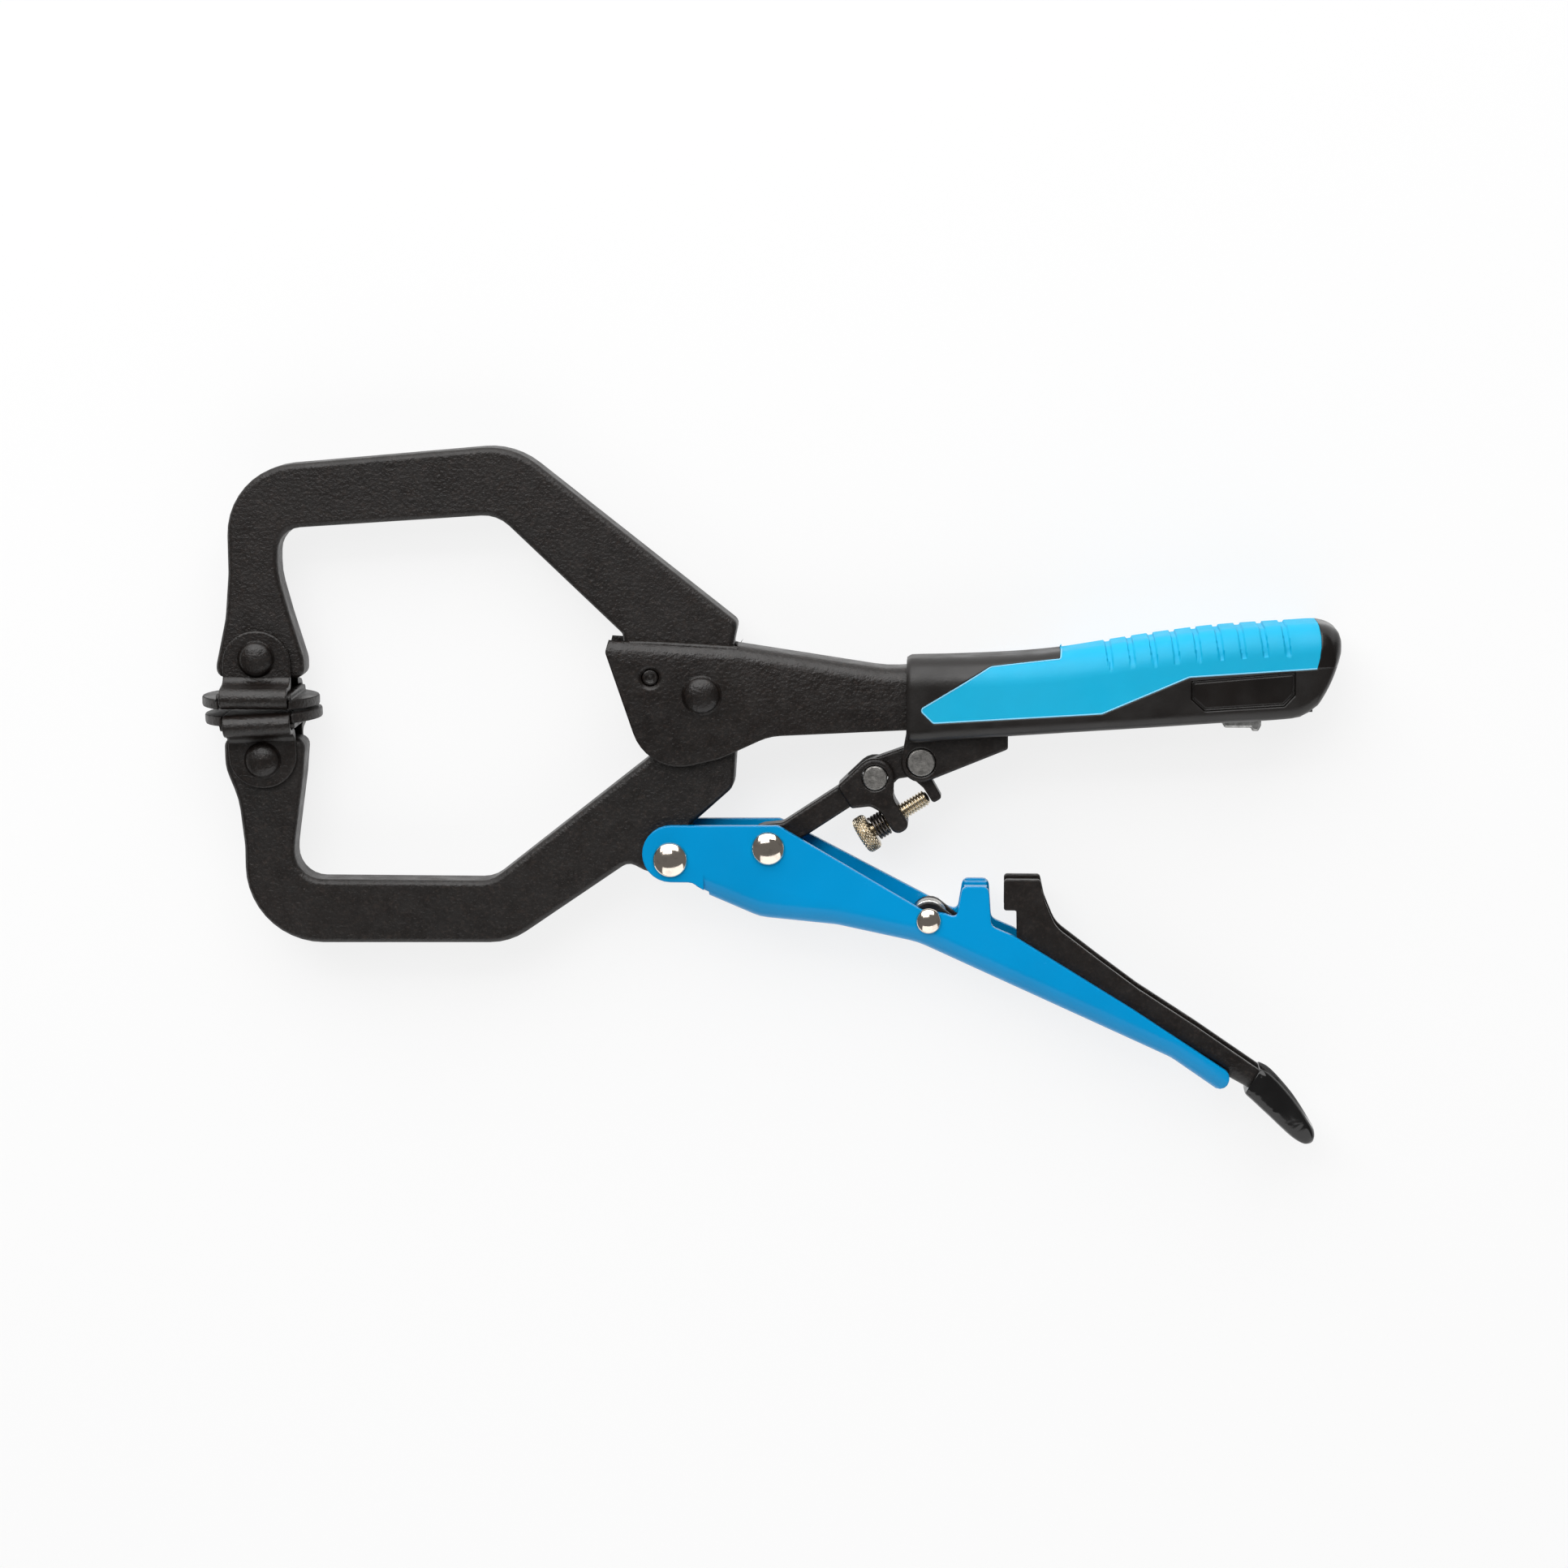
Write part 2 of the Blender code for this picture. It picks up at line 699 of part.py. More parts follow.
def handle_outline():
    """The free edges of the lower handle: ears, top edges, tabs and rounded rear end."""
    ear = HANDLE_PIVOT + Vector((0.1, 1.4))
    floor = along(handle_knee(), HANDLE_END_SLOPE, HANDLE_REAR)
    return rounded(
        [
            *sharp(arc(ear, HANDLE_EAR, 90, 270)),
            (-1.8, ear.y - HANDLE_EAR, 3.0),
            (0.4, -49.9, 1.0),
            (HANDLE_WEB_FRONT - 1, -80.0, 0.0),
            (HANDLE_REAR - 12, -130.0, 0.0),
            (HANDLE_REAR - 9, along(handle_knee(), HANDLE_END_SLOPE, HANDLE_REAR - 9) - 0.8, 0.0),
            (HANDLE_REAR - 1.0, floor + 1.0, 2.8),
            (HANDLE_REAR + 0.1, floor + 6.8, 2.2),
            (105.8, -77.2, 25.0),
            (76.6, -59.2, 6.0),
            (71.0, -56.8, 2.0),
            (70.3, TAB_TOP, 1.6),
            (63.9, TAB_TOP, 1.6),
            (62.6, -54.8, 1.2),
            (60.3, -54.0, 0.8),
            (18.6, -32.2, 2.0),
        ]
    )


def lower_handle():
    path = handle_path()
    far = [(HANDLE_REAR + 60, 60.0), (-60.0, 60.0)]
    outer = bent(path, far, HANDLE_HALF, HANDLE_BEND, 0.0)
    shape = clip(outer, plate(handle_outline(), -HANDLE_HALF - 1, HANDLE_HALF + 1))
    cut(shape, bent(path, far, HANDLE_INNER, HANDLE_BEND - HANDLE_SHEET, HANDLE_SHEET))
    cut(shape, box((-40, -70, -HANDLE_INNER), (HANDLE_WEB_FRONT, -20, HANDLE_INNER)))
    for side in (1, -1):
        low, high = sorted((side * HANDLE_INNER, side * HANDLE_HALF))
        ear = plate(handle_outline(), low, high)
        join(shape, clip(ear, box((-40, -60, -20), (HANDLE_WEB_FRONT - 1.15, -20, 20))))
        low, high = sorted((side * (HANDLE_INNER - FLANGE_DEPTH), side * (HANDLE_INNER + 0.4)))
        corners = [(64.3, TAB_TOP - HANDLE_SHEET), (69.9, TAB_TOP - HANDLE_SHEET)]
        corners += [(69.9, TAB_TOP - 0.3), (64.3, TAB_TOP - 0.3)]
        join(shape, plate(corners, low, high))
    cut(shape, plate(NEAR_RELIEF, HANDLE_INNER - 0.5, HANDLE_HALF + 1))
    return cut(
        shape,
        bore(HANDLE_PIVOT, HANDLE_SHANK),
        bore(TOGGLE_PIVOT, TOGGLE_SHANK),
        bore(LEVER_PIVOT, LEVER_SHANK),
    )


# Release lever

def lever_floor(x):
    return along(HANDLE_FLOOR, HANDLE_FLOOR_SLOPE, x) + LEVER_FLOOR_LIFT


def lever_bend():
    """Where the lever's lower edge turns down towards its tip."""
    knee = (HANDLE_KNEE, lever_floor(HANDLE_KNEE))
    return Vector((LEVER_TURN, along(knee, LEVER_KNEE_SLOPE, LEVER_TURN)))


def lever_path():
    """The bottom of the lever's web, from the front to the rear."""
    start = LEVER_PIVOT.x - 8
    turn = lever_bend()
    end = turn + LEVER_AHEAD * (LEVER_END + TIP_LENGTH)
    return rounded(
        [
            (start, lever_floor(start), 0.0),
            (HANDLE_KNEE, lever_floor(HANDLE_KNEE), 14.0),
            (*turn, 8.0),
            (*end, 0.0),
        ],
        closed=False,
    )


def lever_outline():
    """The free edges of the lever: boss, stop head and long top edges."""
    turn = lever_bend()
    end = turn + LEVER_AHEAD * LEVER_END
    return rounded(
        [
            *sharp(arc(LEVER_PIVOT, LEVER_BOSS, 60, 250)),
            (LEVER_WEB_FRONT, -80.0, 0.0),
            (turn.x - 12, -125.0, 0.0),
            (*(end - LEVER_UP * 6), 0.0),
            (*(end + LEVER_UP * 4.6), 1.5),
            (*(turn + LEVER_UP * 5.6), 4.0),
            (121.8, -82.0, 30.0),
            (107.0, -72.4, 15.0),
            (97.0, -65.0, 15.0),
            (86.8, -57.2, 8.0),
            (84.0, -50.4, 8.0),
            (82.9, -45.4, 0.8),
            (74.1, -45.4, 0.8),
            (74.1, -53.1, 0.6),
            (77.2, -53.1, 0.5),
            (77.4, -63.4, 1.5),
            (66.0, -58.2, 4.0),
        ]
    )


def release_lever():
    path = lever_path()
    far = [(230.0, 40.0), (-20.0, 40.0)]
    outline = lever_outline()
    shape = clip(
        bent(path, far, LEVER_HALF, LEVER_BEND),
        plate(outline, -LEVER_HALF - 1, LEVER_HALF + 1),
    )
    inner = LEVER_HALF - LEVER_SHEET
    cut(shape, bent(path, far, inner, LEVER_BEND - LEVER_SHEET, LEVER_SHEET))
    cut(shape, box((30, -75, -inner), (LEVER_WEB_FRONT + 2.5, -40, inner)))
    return cut(shape, bore(LEVER_PIVOT, LEVER_SHANK))


def tip_section(centre, half_height, half_width):
    """A rounded cross-section of the dipped tip."""
    ring = []
    for i in range(20):
        angle = 2 * math.pi * i / 20
        c = math.copysign(abs(math.cos(angle)) ** 0.7, math.cos(angle))
        s = math.copysign(abs(math.sin(angle)) ** 0.7, math.sin(angle))
        place = centre + LEVER_UP * (half_height * s)
        ring.append((place.x, place.y, half_width * c))
    return ring


def lever_tip():
    middle = lever_bend() + LEVER_UP * 2.5
    rings = []
    wide = LEVER_HALF + TIP_WALL
    for share, height, width, drop in (
        (-0.05, 4.1, wide, 0.2),
        (0.25, 4.3, wide, 0.0),
        (0.55, 3.9, wide - 0.2, -0.2),
        (0.82, 3.2, wide - 0.9, -0.6),
        (0.96, 2.2, wide - 1.9, -0.8),
        (1.0, 0.9, wide - 3.2, -0.9),
    ):
        centre = middle + LEVER_AHEAD * (TIP_LENGTH * share) + LEVER_UP * drop
        rings.append(tip_section(centre, height, width))
    shape = loft(rings)
    path = lever_path()
    far = [(230.0, 40.0), (-20.0, 40.0)]
    hollow = clip(
        bent(path, far, LEVER_HALF + FIT_GAP, LEVER_BEND, -FIT_GAP),
        plate(inset(anticlockwise(lever_outline()), -FIT_GAP), -10, 10),
    )
    return cut(shape, hollow)


# Linkage


def from_fold(u, w):
    """A point given along the screw (u) and along the arm's leg (w), from the fold pivot."""
    return FOLD_PIVOT + SCREW_AXIS * u + LEG_AXIS * w


def toggle_arm():
    bar_axis = (FOLD_PIVOT - TOGGLE_PIVOT).normalized()
    side = Vector((-bar_axis.y, bar_axis.x)) * (BAR_WIDTH / 2)
    reach = (FOLD_PIVOT - TOGGLE_PIVOT).length - 5
    far = TOGGLE_PIVOT + bar_axis * reach
    angle = math.degrees(math.atan2(bar_axis.y, bar_axis.x))
    bar = rounded(
        [
            *sharp(arc(TOGGLE_PIVOT, 5.4, angle + 55, angle + 305)),
            (*(TOGGLE_PIVOT + bar_axis * 6 - side), 2.0),
            (*(far - side), 0.0),
            (*(far + side), 0.0),
            (*(TOGGLE_PIVOT + bar_axis * 6 + side), 2.0),
        ]
    )
    shape = plate(bar, -BAR_HALF, BAR_HALF, 0.4)
    joggle = TOGGLE_PIVOT + bar_axis * (reach - 4.0)
    head_start = math.degrees(math.atan2(SCREW_AXIS.y, SCREW_AXIS.x))
    head = rounded(
        [
            *sharp(arc(FOLD_PIVOT, 4.8, head_start - 22, angle + 98)),
            (*(joggle + side * 1.12), 0.8),
            (*(joggle - side * 1.1), 0.8),
            (*from_fold(LEG_BACK - 1.3, 5.4), 2.0),
            (*from_fold(LEG_BACK + 0.1, 8.0), 2.0),
            (*from_fold(LEG_BACK, LEG_END), 2.0),
            (*from_fold(LEG_FRONT, LEG_END), 1.8),
            (*from_fold(LEG_FRONT, 6.6), 4.0),
        ]
    )
    join(shape, plate(head, -HEAD_HALF, HEAD_HALF, 0.5))
    slot = [from_fold(u, w) for u, w in ((-5.6, -12), (20, -12), (20, 5.9), (-5.6, 5.9))]
    cut(shape, plate([tuple(p) for p in slot], -SLOT_HALF, SLOT_HALF))
    screw_line = from_fold(0, SCREW_OFFSET)
    hole = [(SCREW_RADIUS + FIT_GAP, -12.0), (SCREW_RADIUS + FIT_GAP, 12.0)]
    cut(shape, turning(hole, (*screw_line, 0), (*SCREW_AXIS, 0), 20))
    return cut(shape, bore(TOGGLE_PIVOT, TOGGLE_SHANK), bore(FOLD_PIVOT, FOLD_PIN))


def tension_link():
    axis = CAM_PIVOT - FOLD_PIVOT
    angle = math.degrees(math.atan2(axis.y, axis.x))
    face = SCREW_TIP + FIT_GAP
    corners = [
        *sharp(arc(FOLD_PIVOT, LINK_RADIUS, angle + 90, angle + 300)),
        (*from_fold(4.6, 3.4), 1.0),
        (*from_fold(7.4, 4.6), 1.5),
        (*from_fold(face, 8.6), 0.6),
        (*from_fold(face, SCREW_OFFSET + 2.0), 0.8),
        (*from_fold(face + 2.6, SCREW_OFFSET + 2.0), 0.8),
        (*from_fold(face + 2.9, 7.0), 1.0),
        *sharp(arc(CAM_PIVOT, LINK_EYE, angle - 40, angle + 90)),
    ]
    shape = plate(rounded(corners), -LINK_HALF, LINK_HALF, 0.3)
    return cut(shape, bore(FOLD_PIVOT, FOLD_PIN), link_eye())


def link_eye():
    """The link's slotted eye, long enough for the adjuster's whole travel."""
    ahead = (CAM_PIVOT - FOLD_PIVOT).normalized()
    side = Vector((-ahead.y, ahead.x))
    radius = EYE_PIN + BORE_GAP
    angle = math.degrees(math.atan2(side.y, side.x))
    outline = arc(CAM_PIVOT + side * LINK_PLAY * 0.9, radius, angle - 90, angle + 90)
    outline += arc(CAM_PIVOT - side * LINK_PLAY * 0.9, radius, angle + 90, angle + 270)
    return plate(outline, -10, 10)


def locking_cam():
    end = CAM_PIVOT.x + CAM_LENGTH
    corners = [
        *sharp(arc(CAM_PIVOT, CAM_RADIUS, 165, 295)),
        (end, CAM_PIVOT.y + 3.4, 0.8),
        (end, CAM_PIVOT.y + 16.2, 2.0),
        (CAM_PIVOT.x + 9, CAM_PIVOT.y + 17.6, 5.0),
        (CAM_PIVOT.x - 2.2, CAM_PIVOT.y + 15.0, 2.5),
    ]
    shape = plate(rounded(corners), -HEAD_HALF, HEAD_HALF, 0.4)
    low = (CAM_PIVOT.x - 20, CAM_PIVOT.y - 20, -SLOT_HALF)
    cut(shape, box(low, (CAM_PIVOT.x + 10.5, CAM_PIVOT.y + 7.6, SLOT_HALF)))
    hook = spring_line(end)
    hole = [(SPRING_WIRE + FIT_GAP, -5.0), (SPRING_WIRE + FIT_GAP, 3.0)]
    cut(shape, turning(hole, hook, spring_axis(), 16))
    return cut(shape, bore(CAM_PIVOT, CAM_PIN))


def cam_pin():
    """The cam pin, necked where the link's eye runs around it."""
    half = HEAD_HALF + PIN_STAND
    neck = SLOT_HALF
    rim = CAM_PIN - PIN_EDGE
    upper = [(EYE_PIN, neck), (CAM_PIN, neck), (CAM_PIN, half - PIN_EDGE), (rim, half)]
    lower = [(r, -z) for r, z in upper[::-1]]
    return turning(lower + upper, (*CAM_PIVOT, 0), (0, 0, 1))


def washer(side):
    inner = BAR_HALF + SEAT_GAP
    outer = HANDLE_INNER - SEAT_GAP
    low, high = sorted((side * inner, side * outer))
    ring = cylinder(TOGGLE_PIVOT, WASHER_RADIUS, low, high)
    return cut(ring, bore(TOGGLE_PIVOT, TOGGLE_SHANK))


# Adjusting screw


def on_screw(u):
    point = from_fold(u, SCREW_OFFSET)
    return (point.x, point.y, 0.0)


def adjusting_screw():
    knob_end = KNOB_START + KNOB_THICKNESS
    profile = [
        (KNOB_RADIUS - 0.6, KNOB_START),
        (KNOB_RADIUS, KNOB_START + 0.6),
        (KNOB_RADIUS, knob_end - 0.5),
        (KNOB_RADIUS - 0.5, knob_end),
        (SCREW_RADIUS, knob_end),
        (SCREW_RADIUS, SCREW_TIP - 0.6),
        (SCREW_RADIUS - 0.6, SCREW_TIP),
    ]
    return turning(profile, on_screw(0), (*SCREW_AXIS, 0), 24)


def coil(start, axis, radius, length, turns, steps=10, first=0.0):
    """The path of a coil about an axis from start."""
    across = Vector(axis).normalized().to_track_quat("Z", "Y").to_matrix()
    path = []
    for i in range(turns * steps + 1):
        angle = first + 2 * math.pi * i / steps
        local = Vector((radius * math.cos(angle), radius * math.sin(angle), 0))
        local.z = length * i / (turns * steps)
        path.append(tuple(across @ local + Vector(start)))
    return path


def adjuster_spring():
    start = KNOB_START + KNOB_THICKNESS + WIRE + COIL_GAP
    end = LEG_BACK - WIRE - COIL_GAP
    radius = SCREW_RADIUS + WIRE + 0.45
    path = coil(on_screw(start), (*SCREW_AXIS, 0), radius, end - start, 3)
    return tube(path, WIRE)


# Opening spring and its rear anchor


def spring_axis():
    return Vector((math.cos(HANDLE_SLOPE), math.sin(HANDLE_SLOPE), 0.0))


def spring_line(x):
    """A point on the spring's axis, which runs along the middle of the channel."""
    return (x, along(SPRING_START, HANDLE_SLOPE, x), 0.0)


def opening_spring():
    front = CAM_PIVOT.x + CAM_LENGTH
    start = front + 1.2
    end = ANCHOR_FRONT - 1.6
    axis = spring_axis()
    first = Vector(spring_line(start))
    length = (Vector(spring_line(end)) - first).length
    turns = coil(first, axis, SPRING_RADIUS, length, SPRING_TURNS)
    rear = Vector(spring_line(ANCHOR_FRONT + ANCHOR_LENGTH + 1.2))
    path = [spring_line(front - 3.5), spring_line(front + 0.2)]
    path += turns
    path += [spring_line(end + 0.9), tuple(rear), tuple(rear + Vector((0.7, -0.5, 0)))]
    path += [tuple(rear + Vector((0.9, -4.4, 0)))]
    return tube(path, SPRING_WIRE)


def spring_anchor():
    web = along(WEB_START, HANDLE_SLOPE, ANCHOR_FRONT) - CHEEK_SHEET - FIT_GAP
    foot = along(FOOT_START, HANDLE_SLOPE, ANCHOR_FRONT) - 3.4
    rear = ANCHOR_FRONT + ANCHOR_LENGTH
    corners = [
        (ANCHOR_FRONT, foot + 1.6, 0.0),
        (ANCHOR_FRONT + 1.0, foot, 0.0),
        (rear - 2.6, foot, 0.0),
        (rear - 2.2, foot - 0.8, 0.0),
        (rear - 0.7, foot - 0.8, 0.0),
        (rear, foot + 0.6, 0.0),
        (rear, web - 1.2, 1.0),
        (rear - 3, web - 0.6, 0.5),
        (ANCHOR_FRONT, web - 0.6, 1.0),
    ]
    shape = plate(rounded(corners), -ANCHOR_HALF, ANCHOR_HALF, 0.4)
    hole = [(SPRING_WIRE + FIT_GAP, -3.0), (SPRING_WIRE + FIT_GAP, ANCHOR_LENGTH + 3)]
    return cut(shape, turning(hole, spring_line(ANCHOR_FRONT), spring_axis(), 16))


def lever_spring():
    """The torsion spring around the lever rivet."""
    radius = LEVER_SHANK + WIRE + 1.7
    start = (*LEVER_PIVOT, -1.9)
    path = coil(start, (0, 0, 1), radius, 3.8, 3, first=-math.pi / 2)
    ends = [Vector(path[0]), Vector(path[-1])]
    front = ends[0] + Vector((-7.0, 1.6, 0.0))
    rear = ends[1] + Vector((6.5, -1.0, 0.0))
    return tube([tuple(front), *path, tuple(rear)], WIRE)


# Grip


def grip_stations():
    """Places along the grip: x, lower edge, upper edge and half width."""
    rear = GRIP_REAR
    floor = [along(GRIP_FLOOR, GRIP_FLOOR_SLOPE, x) for x in (60, 76, 87, 98, 112, 126, 144)]
    return [
        (GRIP_FRONT, GRIP_FLOOR[1] + 0.6, 8.6, GRIP_HALF - 2.6),
        (GRIP_FRONT + 1.2, GRIP_FLOOR[1], 9.2, GRIP_HALF - 2.1),
        (60.0, floor[0], 9.4, GRIP_HALF - 1.8),
        (76.0, floor[1], 10.1, GRIP_HALF - 1.2),
        (87.0, floor[2], 11.1, GRIP_HALF - 0.8),
        (98.0, floor[3], 12.8, GRIP_HALF - 0.4),
        (112.0, floor[4], 15.0, GRIP_HALF),
        (126.0, floor[5], 16.8, GRIP_HALF),
        (144.0, floor[6], 18.1, GRIP_HALF),
        (rear - 6.0, -1.7, 18.4, GRIP_HALF - 0.1),
        (rear - 3.8, 1.4, 18.1, GRIP_HALF - 0.5),
        (rear - 1.6, 5.9, 17.2, GRIP_HALF - 1.5),
        (rear - 0.4, 9.3, 15.9, GRIP_HALF - 3.0),
        (rear, 10.9, 14.6, GRIP_HALF - 4.3),
    ]


def grip_section(station, shrink):
    """A rounded rectangle across the grip."""
    x, low, high, half = station
    wall = min(shrink, (high - low) / 2 - 0.7)
    low += wall
    high -= wall
    half -= shrink
    room = high - low - 0.4
    top = min(GRIP_TOP_RADIUS - shrink, half - 0.4, room * 0.6)
    bottom = min(GRIP_BOTTOM_RADIUS - shrink, room * 0.4)
    ring = []
    for sy, sz, start in ((1, 1, 0), (1, -1, 90), (-1, -1, 180), (-1, 1, 270)):
        radius = top if sy > 0 else bottom
        centre = ((high - radius) if sy > 0 else (low + radius), sz * (half - radius))
        for k in range(5):
            angle = math.radians(start + 22.5 * k)
            ring.append(
                (x, centre[0] + radius * math.sin(angle), centre[1] + radius * math.cos(angle))
            )
    return ring


def grip_body(shrink=0.0, inset_ends=0.0):
    stations = grip_stations()
    rings = [grip_section(s, shrink) for s in stations]
    rings[0] = [(x + inset_ends, y, z) for x, y, z in rings[0]]
    return loft(rings)


def cap_seam():
    """The line between the soft cover and the end cap, from its foot up."""
    front = GRIP_REAR - CAP_LENGTH
    path = [(0.0, 0.0), (0.6, 2.5), (0.9, 5.0), (0.9, 7.5), (0.5, 10.0), (0.0, 12.0)]
    return [(front + x, CAP_FLOOR + y) for x, y in path] + [(front, 40.0)]


def cover_zone(gap):
    """The side view of the area that the soft cover takes, grown by a gap."""
    outline = rounded(
        [
            (53.3, -2.9, 0.8),
            (56.6, -6.1, 0.8),
            (93.5, -3.6, 2.0),
            (97.4, -3.3, 2.0),
            (118.3, 5.8, 2.0),
            *sharp(cap_seam()),
            (88.0, 40.0, 0.0),
            (87.4, 9.6, 0.6),
            (70.5, 7.6, 3.0),
        ]
    )
    return inset(anticlockwise(outline), -gap) if gap else outline


def cap_zone(gap):
    rear = GRIP_REAR + BEYOND
    seam = [(x + FIT_GAP - gap, y) for x, y in cap_seam()]
    floor = CAP_FLOOR + FIT_GAP - gap
    seam[0] = (seam[0][0], floor)
    return [(rear, floor), (rear, 40.0), *seam[::-1]]


def grip_cover():
    shape = clip(grip_body(), plate(cover_zone(0.0), -40, 40))
    return cut(shape, grip_body(COVER_THICKNESS))


def badge_outline():
    rear = GRIP_REAR - 11.1
    return [
        (118.8, 4.9),
        (118.8, 0.3),
        (122.1, -2.6),
        (rear - 2.6, -1.3),
        (rear, 1.5),
        (rear, 7.2),
    ]


def grip_core():
    shape = grip_body()
    shell = clip(grip_body(-3.0), plate(cover_zone(FIT_GAP), -40, 40))
    cut(shell, grip_body(COVER_THICKNESS + FIT_GAP))
    cut(shape, shell)
    cut(shape, plate(cap_zone(FIT_GAP), -40, 40))
    hollow = clip(
        channel_body(-FIT_GAP, CHEEK_HALF + FIT_GAP, CHEEK_BEND),
        plate(inset(anticlockwise(channel_outline(CHANNEL_REAR)), -FIT_GAP), -20, 20),
    )
    cut(shape, hollow)
    opening = CHEEK_INNER + FIT_GAP
    cut(shape, box((30, -30, -opening), (CAM_OPENING_REAR, 0, opening)))
    hook_rear = ANCHOR_FRONT + ANCHOR_LENGTH + 3.4
    anchor = ANCHOR_HALF + FIT_GAP + 0.1
    cut(shape, box((ANCHOR_FRONT - 0.4, -30, -anchor), (hook_rear, 0, anchor)))
    for side in (1, -1):
        low, high = sorted((side * (GRIP_HALF - BADGE_DEPTH), side * 30.0))
        cut(shape, plate(badge_outline(), low, high))
    return shape


def grip_end_cap():
    shape = clip(grip_body(), plate(cap_zone(0.0), -40, 40))
    hollow = box((130, -30, -CHEEK_HALF - 0.5), (CHANNEL_REAR + 1, 60, CHEEK_HALF + 0.5))
    return cut(shape, hollow)


def build():
    for old in list(bpy.data.objects):
        bpy.data.objects.remove(old)

    black = paint("black_coat", (0.022, 0.019, 0.018), 0.42)
    black_plastic = paint("black_plastic", (0.014, 0.014, 0.014), 0.4)
    soft_blue = paint("soft_blue", (0.03, 0.39, 0.8), 0.5)
    blue = paint("blue_paint", (0.0, 0.26, 0.62), 0.22)
    bright = paint("nickel", (0.75, 0.68, 0.6), 0.15, 1.0)
    steel = paint("pin_steel", (0.36, 0.35, 0.34), 0.4, 1.0)
    vinyl = paint("dipped_vinyl", (0.012, 0.012, 0.012), 0.12)
    spring = paint("spring_steel", (0.05, 0.045, 0.045), 0.3, 1.0)

    upper_rivet = Vector((UPPER_PAD_X, UPPER_RIVET_Y))
    lower_rivet = Vector((LOWER_PAD_X, LOWER_RIVET_Y))
    add_body("frame", MAIN_PIVOT)
    add_body("upper_pad", upper_rivet, "frame")
    add_body("lower_jaw", MAIN_PIVOT, "frame")
    add_body("lower_pad", lower_rivet, "lower_jaw")
    add_body("cam", CAM_PIVOT, "frame")
    add_body("toggle_arm", CAM_PIVOT, "cam")
    add_body("tension_link", FOLD_PIVOT, "toggle_arm")
    add_body("adjuster_spring", on_screw(0), "toggle_arm")
    add_body("adjusting_screw", on_screw(0), "adjuster_spring")
    add_body("lower_handle", TOGGLE_PIVOT, "toggle_arm")
    add_body("release_lever", LEVER_PIVOT, "lower_handle")

    pad_seat = EAR_OUTER
    node("upper_jaw", upper_jaw(), black, "frame")
    node("upper_channel", upper_channel(), black, "frame")
    node("main_rivet", rivet(MAIN_PIVOT, MAIN_HEAD, SHANK, CHEEK_HALF), black, "frame")
    node("jaw_anchor_pin", pin(JAW_ANCHOR, ANCHOR_PIN, CHEEK_HALF - PIN_EDGE * 2), black, "frame")
    node("upper_pad_rivet", rivet(upper_rivet, PAD_HEAD, PAD_SHANK, pad_seat), black, "frame")
    node("grip_core", grip_core(), black_plastic, "frame")
    node("grip_cover", grip_cover(), soft_blue, "frame")
    node("grip_end_cap", grip_end_cap(), black_plastic, "frame")
    node("spring_anchor", spring_anchor(), steel, "frame")
    node("opening_spring", opening_spring(), bright, "frame")

    node("lower_jaw", lower_jaw(), black, "lower_jaw")
    node("lower_pad_rivet", rivet(lower_rivet, PAD_HEAD, PAD_SHANK, pad_seat), black, "lower_jaw")
    for side, centre, tilt in (("upper", upper_rivet, 0.0), ("lower", lower_rivet, LOWER_PAD_TILT)):
        flipped = side == "lower"
        body = side + "_pad"
        node(body + "_disc", place_pad(pad_disc(), centre, tilt, flipped), black, body)
        node(body + "_bracket", place_pad(pad_bracket(), centre, tilt, flipped), black, body)

    node("locking_cam", locking_cam(), black, "cam")
    node("cam_pin", cam_pin(), steel, "cam")
    node("toggle_arm", toggle_arm(), black, "toggle_arm")
    node("fold_pin", pin(FOLD_PIVOT, FOLD_PIN, HEAD_HALF + PIN_STAND), steel, "toggle_arm")
    node("tension_link", tension_link(), black, "tension_link")
    node("adjuster_spring", adjuster_spring(), spring, "adjuster_spring")
    node("adjusting_screw", adjusting_screw(), bright, "adjusting_screw")

    node("lower_handle", lower_handle(), blue, "lower_handle")
    seat = HANDLE_HALF
    handle_rivet = rivet(HANDLE_PIVOT, HANDLE_HEAD, HANDLE_SHANK, seat)
    node("handle_rivet", handle_rivet, bright, "lower_handle")
    toggle_rivet = rivet(TOGGLE_PIVOT, TOGGLE_HEAD, TOGGLE_SHANK, seat)
    node("toggle_rivet", toggle_rivet, bright, "lower_handle")
    node("lever_rivet", rivet(LEVER_PIVOT, LEVER_HEAD, LEVER_SHANK, seat), bright, "lower_handle")
    node("toggle_washer_near", washer(1), steel, "lower_handle")
    node("toggle_washer_far", washer(-1), steel, "lower_handle")
    node("lever_spring", lever_spring(), spring, "lower_handle")
    node("release_lever", release_lever(), black, "release_lever")
    node("lever_tip", lever_tip(), vinyl, "release_lever")

    middle = (BOX_LOW + BOX_HIGH) / 2
    BODIES["frame"][0].location = -Vector((middle.x, middle.y, BOX_LOW.z)) * MM
    bpy.context.view_layer.update()


build()
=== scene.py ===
"""Looks for a pair of self-adjusting locking C-clamp pliers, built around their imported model.

The pliers lie on their side: +X runs from the jaws to the handle ends, +Y from the lower handle
to the grip and +Z is the thickness. Shapes are drawn in millimetres from the main pivot on the
middle plane, and the last step of each turns them into metres in the model's own frame.
"""

import functools
import math

import bmesh
import bpy
from mathutils import Matrix, Vector


